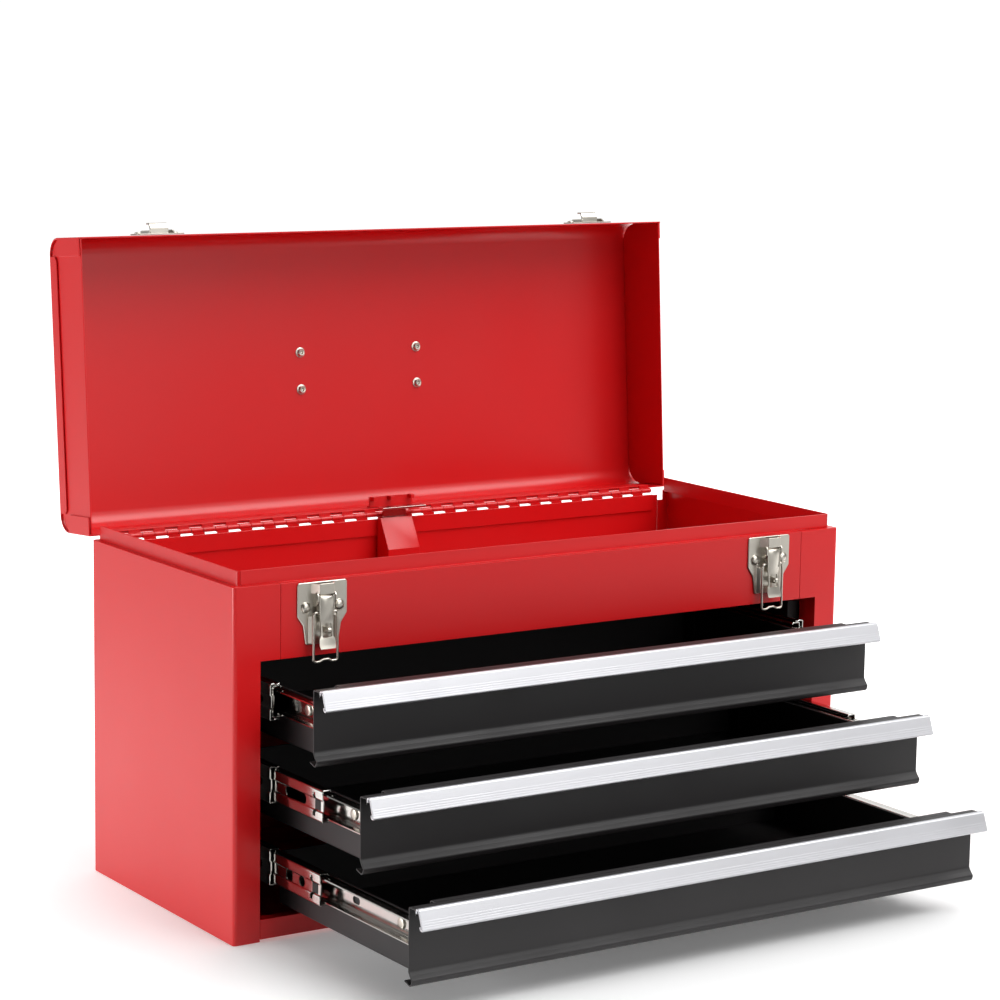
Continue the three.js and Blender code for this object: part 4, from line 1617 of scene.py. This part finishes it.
# ---------- camera and studio ----------
@dataclass
class View:
    """The camera: where it stands, in metres, and how it is turned, in degrees."""

    yaw: float = 33.41
    pitch: float = 8.95
    roll: float = 0.88
    place: tuple[float, float, float] = (-1.1564, -1.7871, 0.6032)
    lens: float = 106.47
    sensor: float = 36.0

    def build(self) -> None:
        """Makes the camera the scene's own."""
        yaw, pitch, roll = (math.radians(a) for a in (self.yaw, self.pitch, self.roll))
        ahead = Vector((math.sin(yaw) * math.cos(pitch), math.cos(yaw) * math.cos(pitch), -math.sin(pitch)))
        level = Vector((math.cos(yaw), -math.sin(yaw), 0))
        upright = level.cross(ahead)
        right = level * math.cos(roll) + upright * math.sin(roll)
        up = upright * math.cos(roll) - level * math.sin(roll)
        data = bpy.data.cameras.new("camera")
        data.lens, data.sensor_width = self.lens, self.sensor
        camera = bpy.data.objects.new("camera", data)
        turn = Matrix((right, up, -ahead)).transposed().to_4x4()
        camera.matrix_world = Matrix.Translation(self.place) @ turn
        bpy.context.collection.objects.link(camera)
        bpy.context.scene.camera = camera


@dataclass
class Softbox:
    """A rectangular area light aimed at a point. Places are in metres and power in watts."""

    name: str
    place: tuple[float, float, float]
    power: float
    size: tuple[float, float]
    aim: tuple[float, float, float] = (0.0, 0.0, 0.15)
    spread: float = 180.0

    def build(self) -> None:
        """Adds the light."""
        data = bpy.data.lights.new(self.name, "AREA")
        data.shape, data.energy = "RECTANGLE", self.power
        data.size, data.size_y = self.size
        data.spread = math.radians(self.spread)
        light = bpy.data.objects.new(self.name, data)
        light.location = self.place
        way = Vector(self.aim) - Vector(self.place)
        light.rotation_euler = way.to_track_quat("-Z", "Y").to_euler()
        bpy.context.collection.objects.link(light)


@dataclass(frozen=True)
class Ramp:
    """A smooth change from a first to a last value along one axis of a place or direction."""

    axis: Axis
    start: float
    stop: float
    first: float
    last: float

    def inputs(self, parts: Sequence[bpy.types.NodeSocket]) -> dict[str | int, Any]:
        """What a range node takes to make the change.

        Args:
            parts: the three parts of the place or direction.

        Returns:
            The value for each input.
        """
        return {
            "Value": parts[self.axis.value], "From Min": self.start, "From Max": self.stop,
            "To Min": self.first, "To Max": self.last,
        }


@dataclass
class Studio:
    """A pale floor under soft light; painted shade and painted light make it brighter behind the chest than
    in front of it.
    """

    reach: float = 6.0
    sunk: float = 0.0005  # how far the floor is under the chest's foot
    strength: Ramp = Ramp(Axis.Y, -0.15, 0.5, 0.14, 1.05)  # of the surroundings, from front to back
    strength_left: Ramp = Ramp(Axis.X, -0.5, 0.2, 0.2, 1.0)  # share of it that is left on the left
    shade: Ramp = Ramp(Axis.Y, -0.95, -0.42, 0.18, 0.85)  # painted shade: how pale the floor is, darker ahead of the chest, from front to back
    painted_glow: Ramp = Ramp(Axis.Y, -0.5, 0.7, 0.0, 1.0)  # painted light: how strongly the floor glows, from front to back
    painted_glow_left: Ramp = Ramp(Axis.X, -0.7, -0.3, 0.08, 1.0)  # share of that painted light left on the left
    painted_glow_right: Ramp = Ramp(Axis.X, 0.35, 1.3, 0.08, 0.75)  # the least painted light towards the right

    def build(self) -> None:
        """Lays the floor, hangs the lights and sets the surroundings."""
        self._floor()
        self._surroundings()
        for light in (
            Softbox("key_high", (0.85, -1.3, 2.45), 41, (2.6, 2.2), spread=120),
            Softbox("front", (0.3, -2.5, 0.75), 4, (1.3, 0.9), spread=120),
            Softbox("strip_low", (1.35, -1.8, 1.2), 2.4, (1.8, 0.9), spread=120),
            Softbox("top", (0.0, -0.2, 2.4), 6, (1.9, 1.6)),
            Softbox("left_low", (-2.5, 0.7, 0.42), 21, (1.8, 0.7), spread=130),
        ):
            light.build()
        bpy.context.scene.view_settings.view_transform = "Standard"

    def _surroundings(self) -> None:
        """White all round, dimmer ahead of the chest and to its left."""
        world = bpy.data.worlds.new("studio")
        world.use_nodes = True
        tree = world.node_tree
        sky = tree.nodes["Background"]
        way = add_node(tree, "ShaderNodeTexCoord").outputs["Generated"]
        parts = add_node(tree, "ShaderNodeSeparateXYZ", {"Vector": way}).outputs
        strength, share = (
            add_node(
                tree, "ShaderNodeMapRange", ramp.inputs(parts), interpolation_type="SMOOTHSTEP"
            ).outputs["Result"]
            for ramp in (self.strength, self.strength_left)
        )
        strength = add_node(tree, "ShaderNodeMath", {0: strength, 1: share}, operation="MULTIPLY").outputs[0]
        tree.links.new(strength, sky.inputs["Strength"])
        sky.inputs["Color"].default_value = (1, 1, 1, 1)
        bpy.context.scene.world = world

    def _floor(self) -> None:
        """A wide sheet under the chest."""
        grid = bmesh.new()
        bmesh.ops.create_grid(grid, x_segments=2, y_segments=2, size=self.reach)
        mesh = bpy.data.meshes.new("floor")
        grid.to_mesh(mesh)
        grid.free()
        mesh.materials.append(self._opal())
        floor = bpy.data.objects.new("floor", mesh)
        floor.location.z = -self.sunk
        bpy.context.collection.objects.link(floor)

    def _opal(self) -> bpy.types.Material:
        """The floor's surface: a matt, pale ground with no grain and no edge, with painted shade and painted
        light.

        Returns:
            The material, which glows towards the back as painted light and is darker and unlit at its front
            as painted shade.
        """
        material = bpy.data.materials.new("floor_painted_shade_and_light")
        material.use_nodes = True
        tree = material.node_tree
        shader = tree.nodes["Principled BSDF"]
        place = add_node(tree, "ShaderNodeTexCoord").outputs["Object"]
        parts = add_node(tree, "ShaderNodeSeparateXYZ", {"Vector": place}).outputs
        shade, painted_glow, share, least = (
            add_node(
                tree, "ShaderNodeMapRange", ramp.inputs(parts), interpolation_type="SMOOTHSTEP"
            ).outputs["Result"]
            for ramp in (self.shade, self.painted_glow, self.painted_glow_left, self.painted_glow_right)
        )
        # Painted light: the floor glows behind the chest though it is no lamp, less on the left and never
        # below a least amount towards the right.
        painted_glow = add_node(tree, "ShaderNodeMath", {0: painted_glow, 1: share}, operation="MULTIPLY").outputs[0]
        painted_glow = add_node(tree, "ShaderNodeMath", {0: painted_glow, 1: least}, operation="MAXIMUM").outputs[0]
        # Painted shade: the floor's base colour is darker ahead of the chest.
        tree.links.new(shade, shader.inputs["Base Color"])
        tree.links.new(painted_glow, shader.inputs["Emission Strength"])
        shader.inputs["Emission Color"].default_value = (1, 1, 1, 1)
        shader.inputs["Roughness"].default_value = 0.9
        return material


def main() -> None:
    """Builds the chest, the camera and the studio in order."""
    logging.basicConfig(level=logging.INFO, format="%(name)s %(message)s")
    View().build()
    Studio().build()
    Cabinet().build()
    for number in (1, 2, 3):
        Drawer(number).build()
        for side in Side:
            SlideRun(number, side).build()
    PianoHinge().build()
    Lid().build()
    for side in Side:
        Latch(side).build()
    DrawerLock().build()


if __name__ == "__main__":
    main()
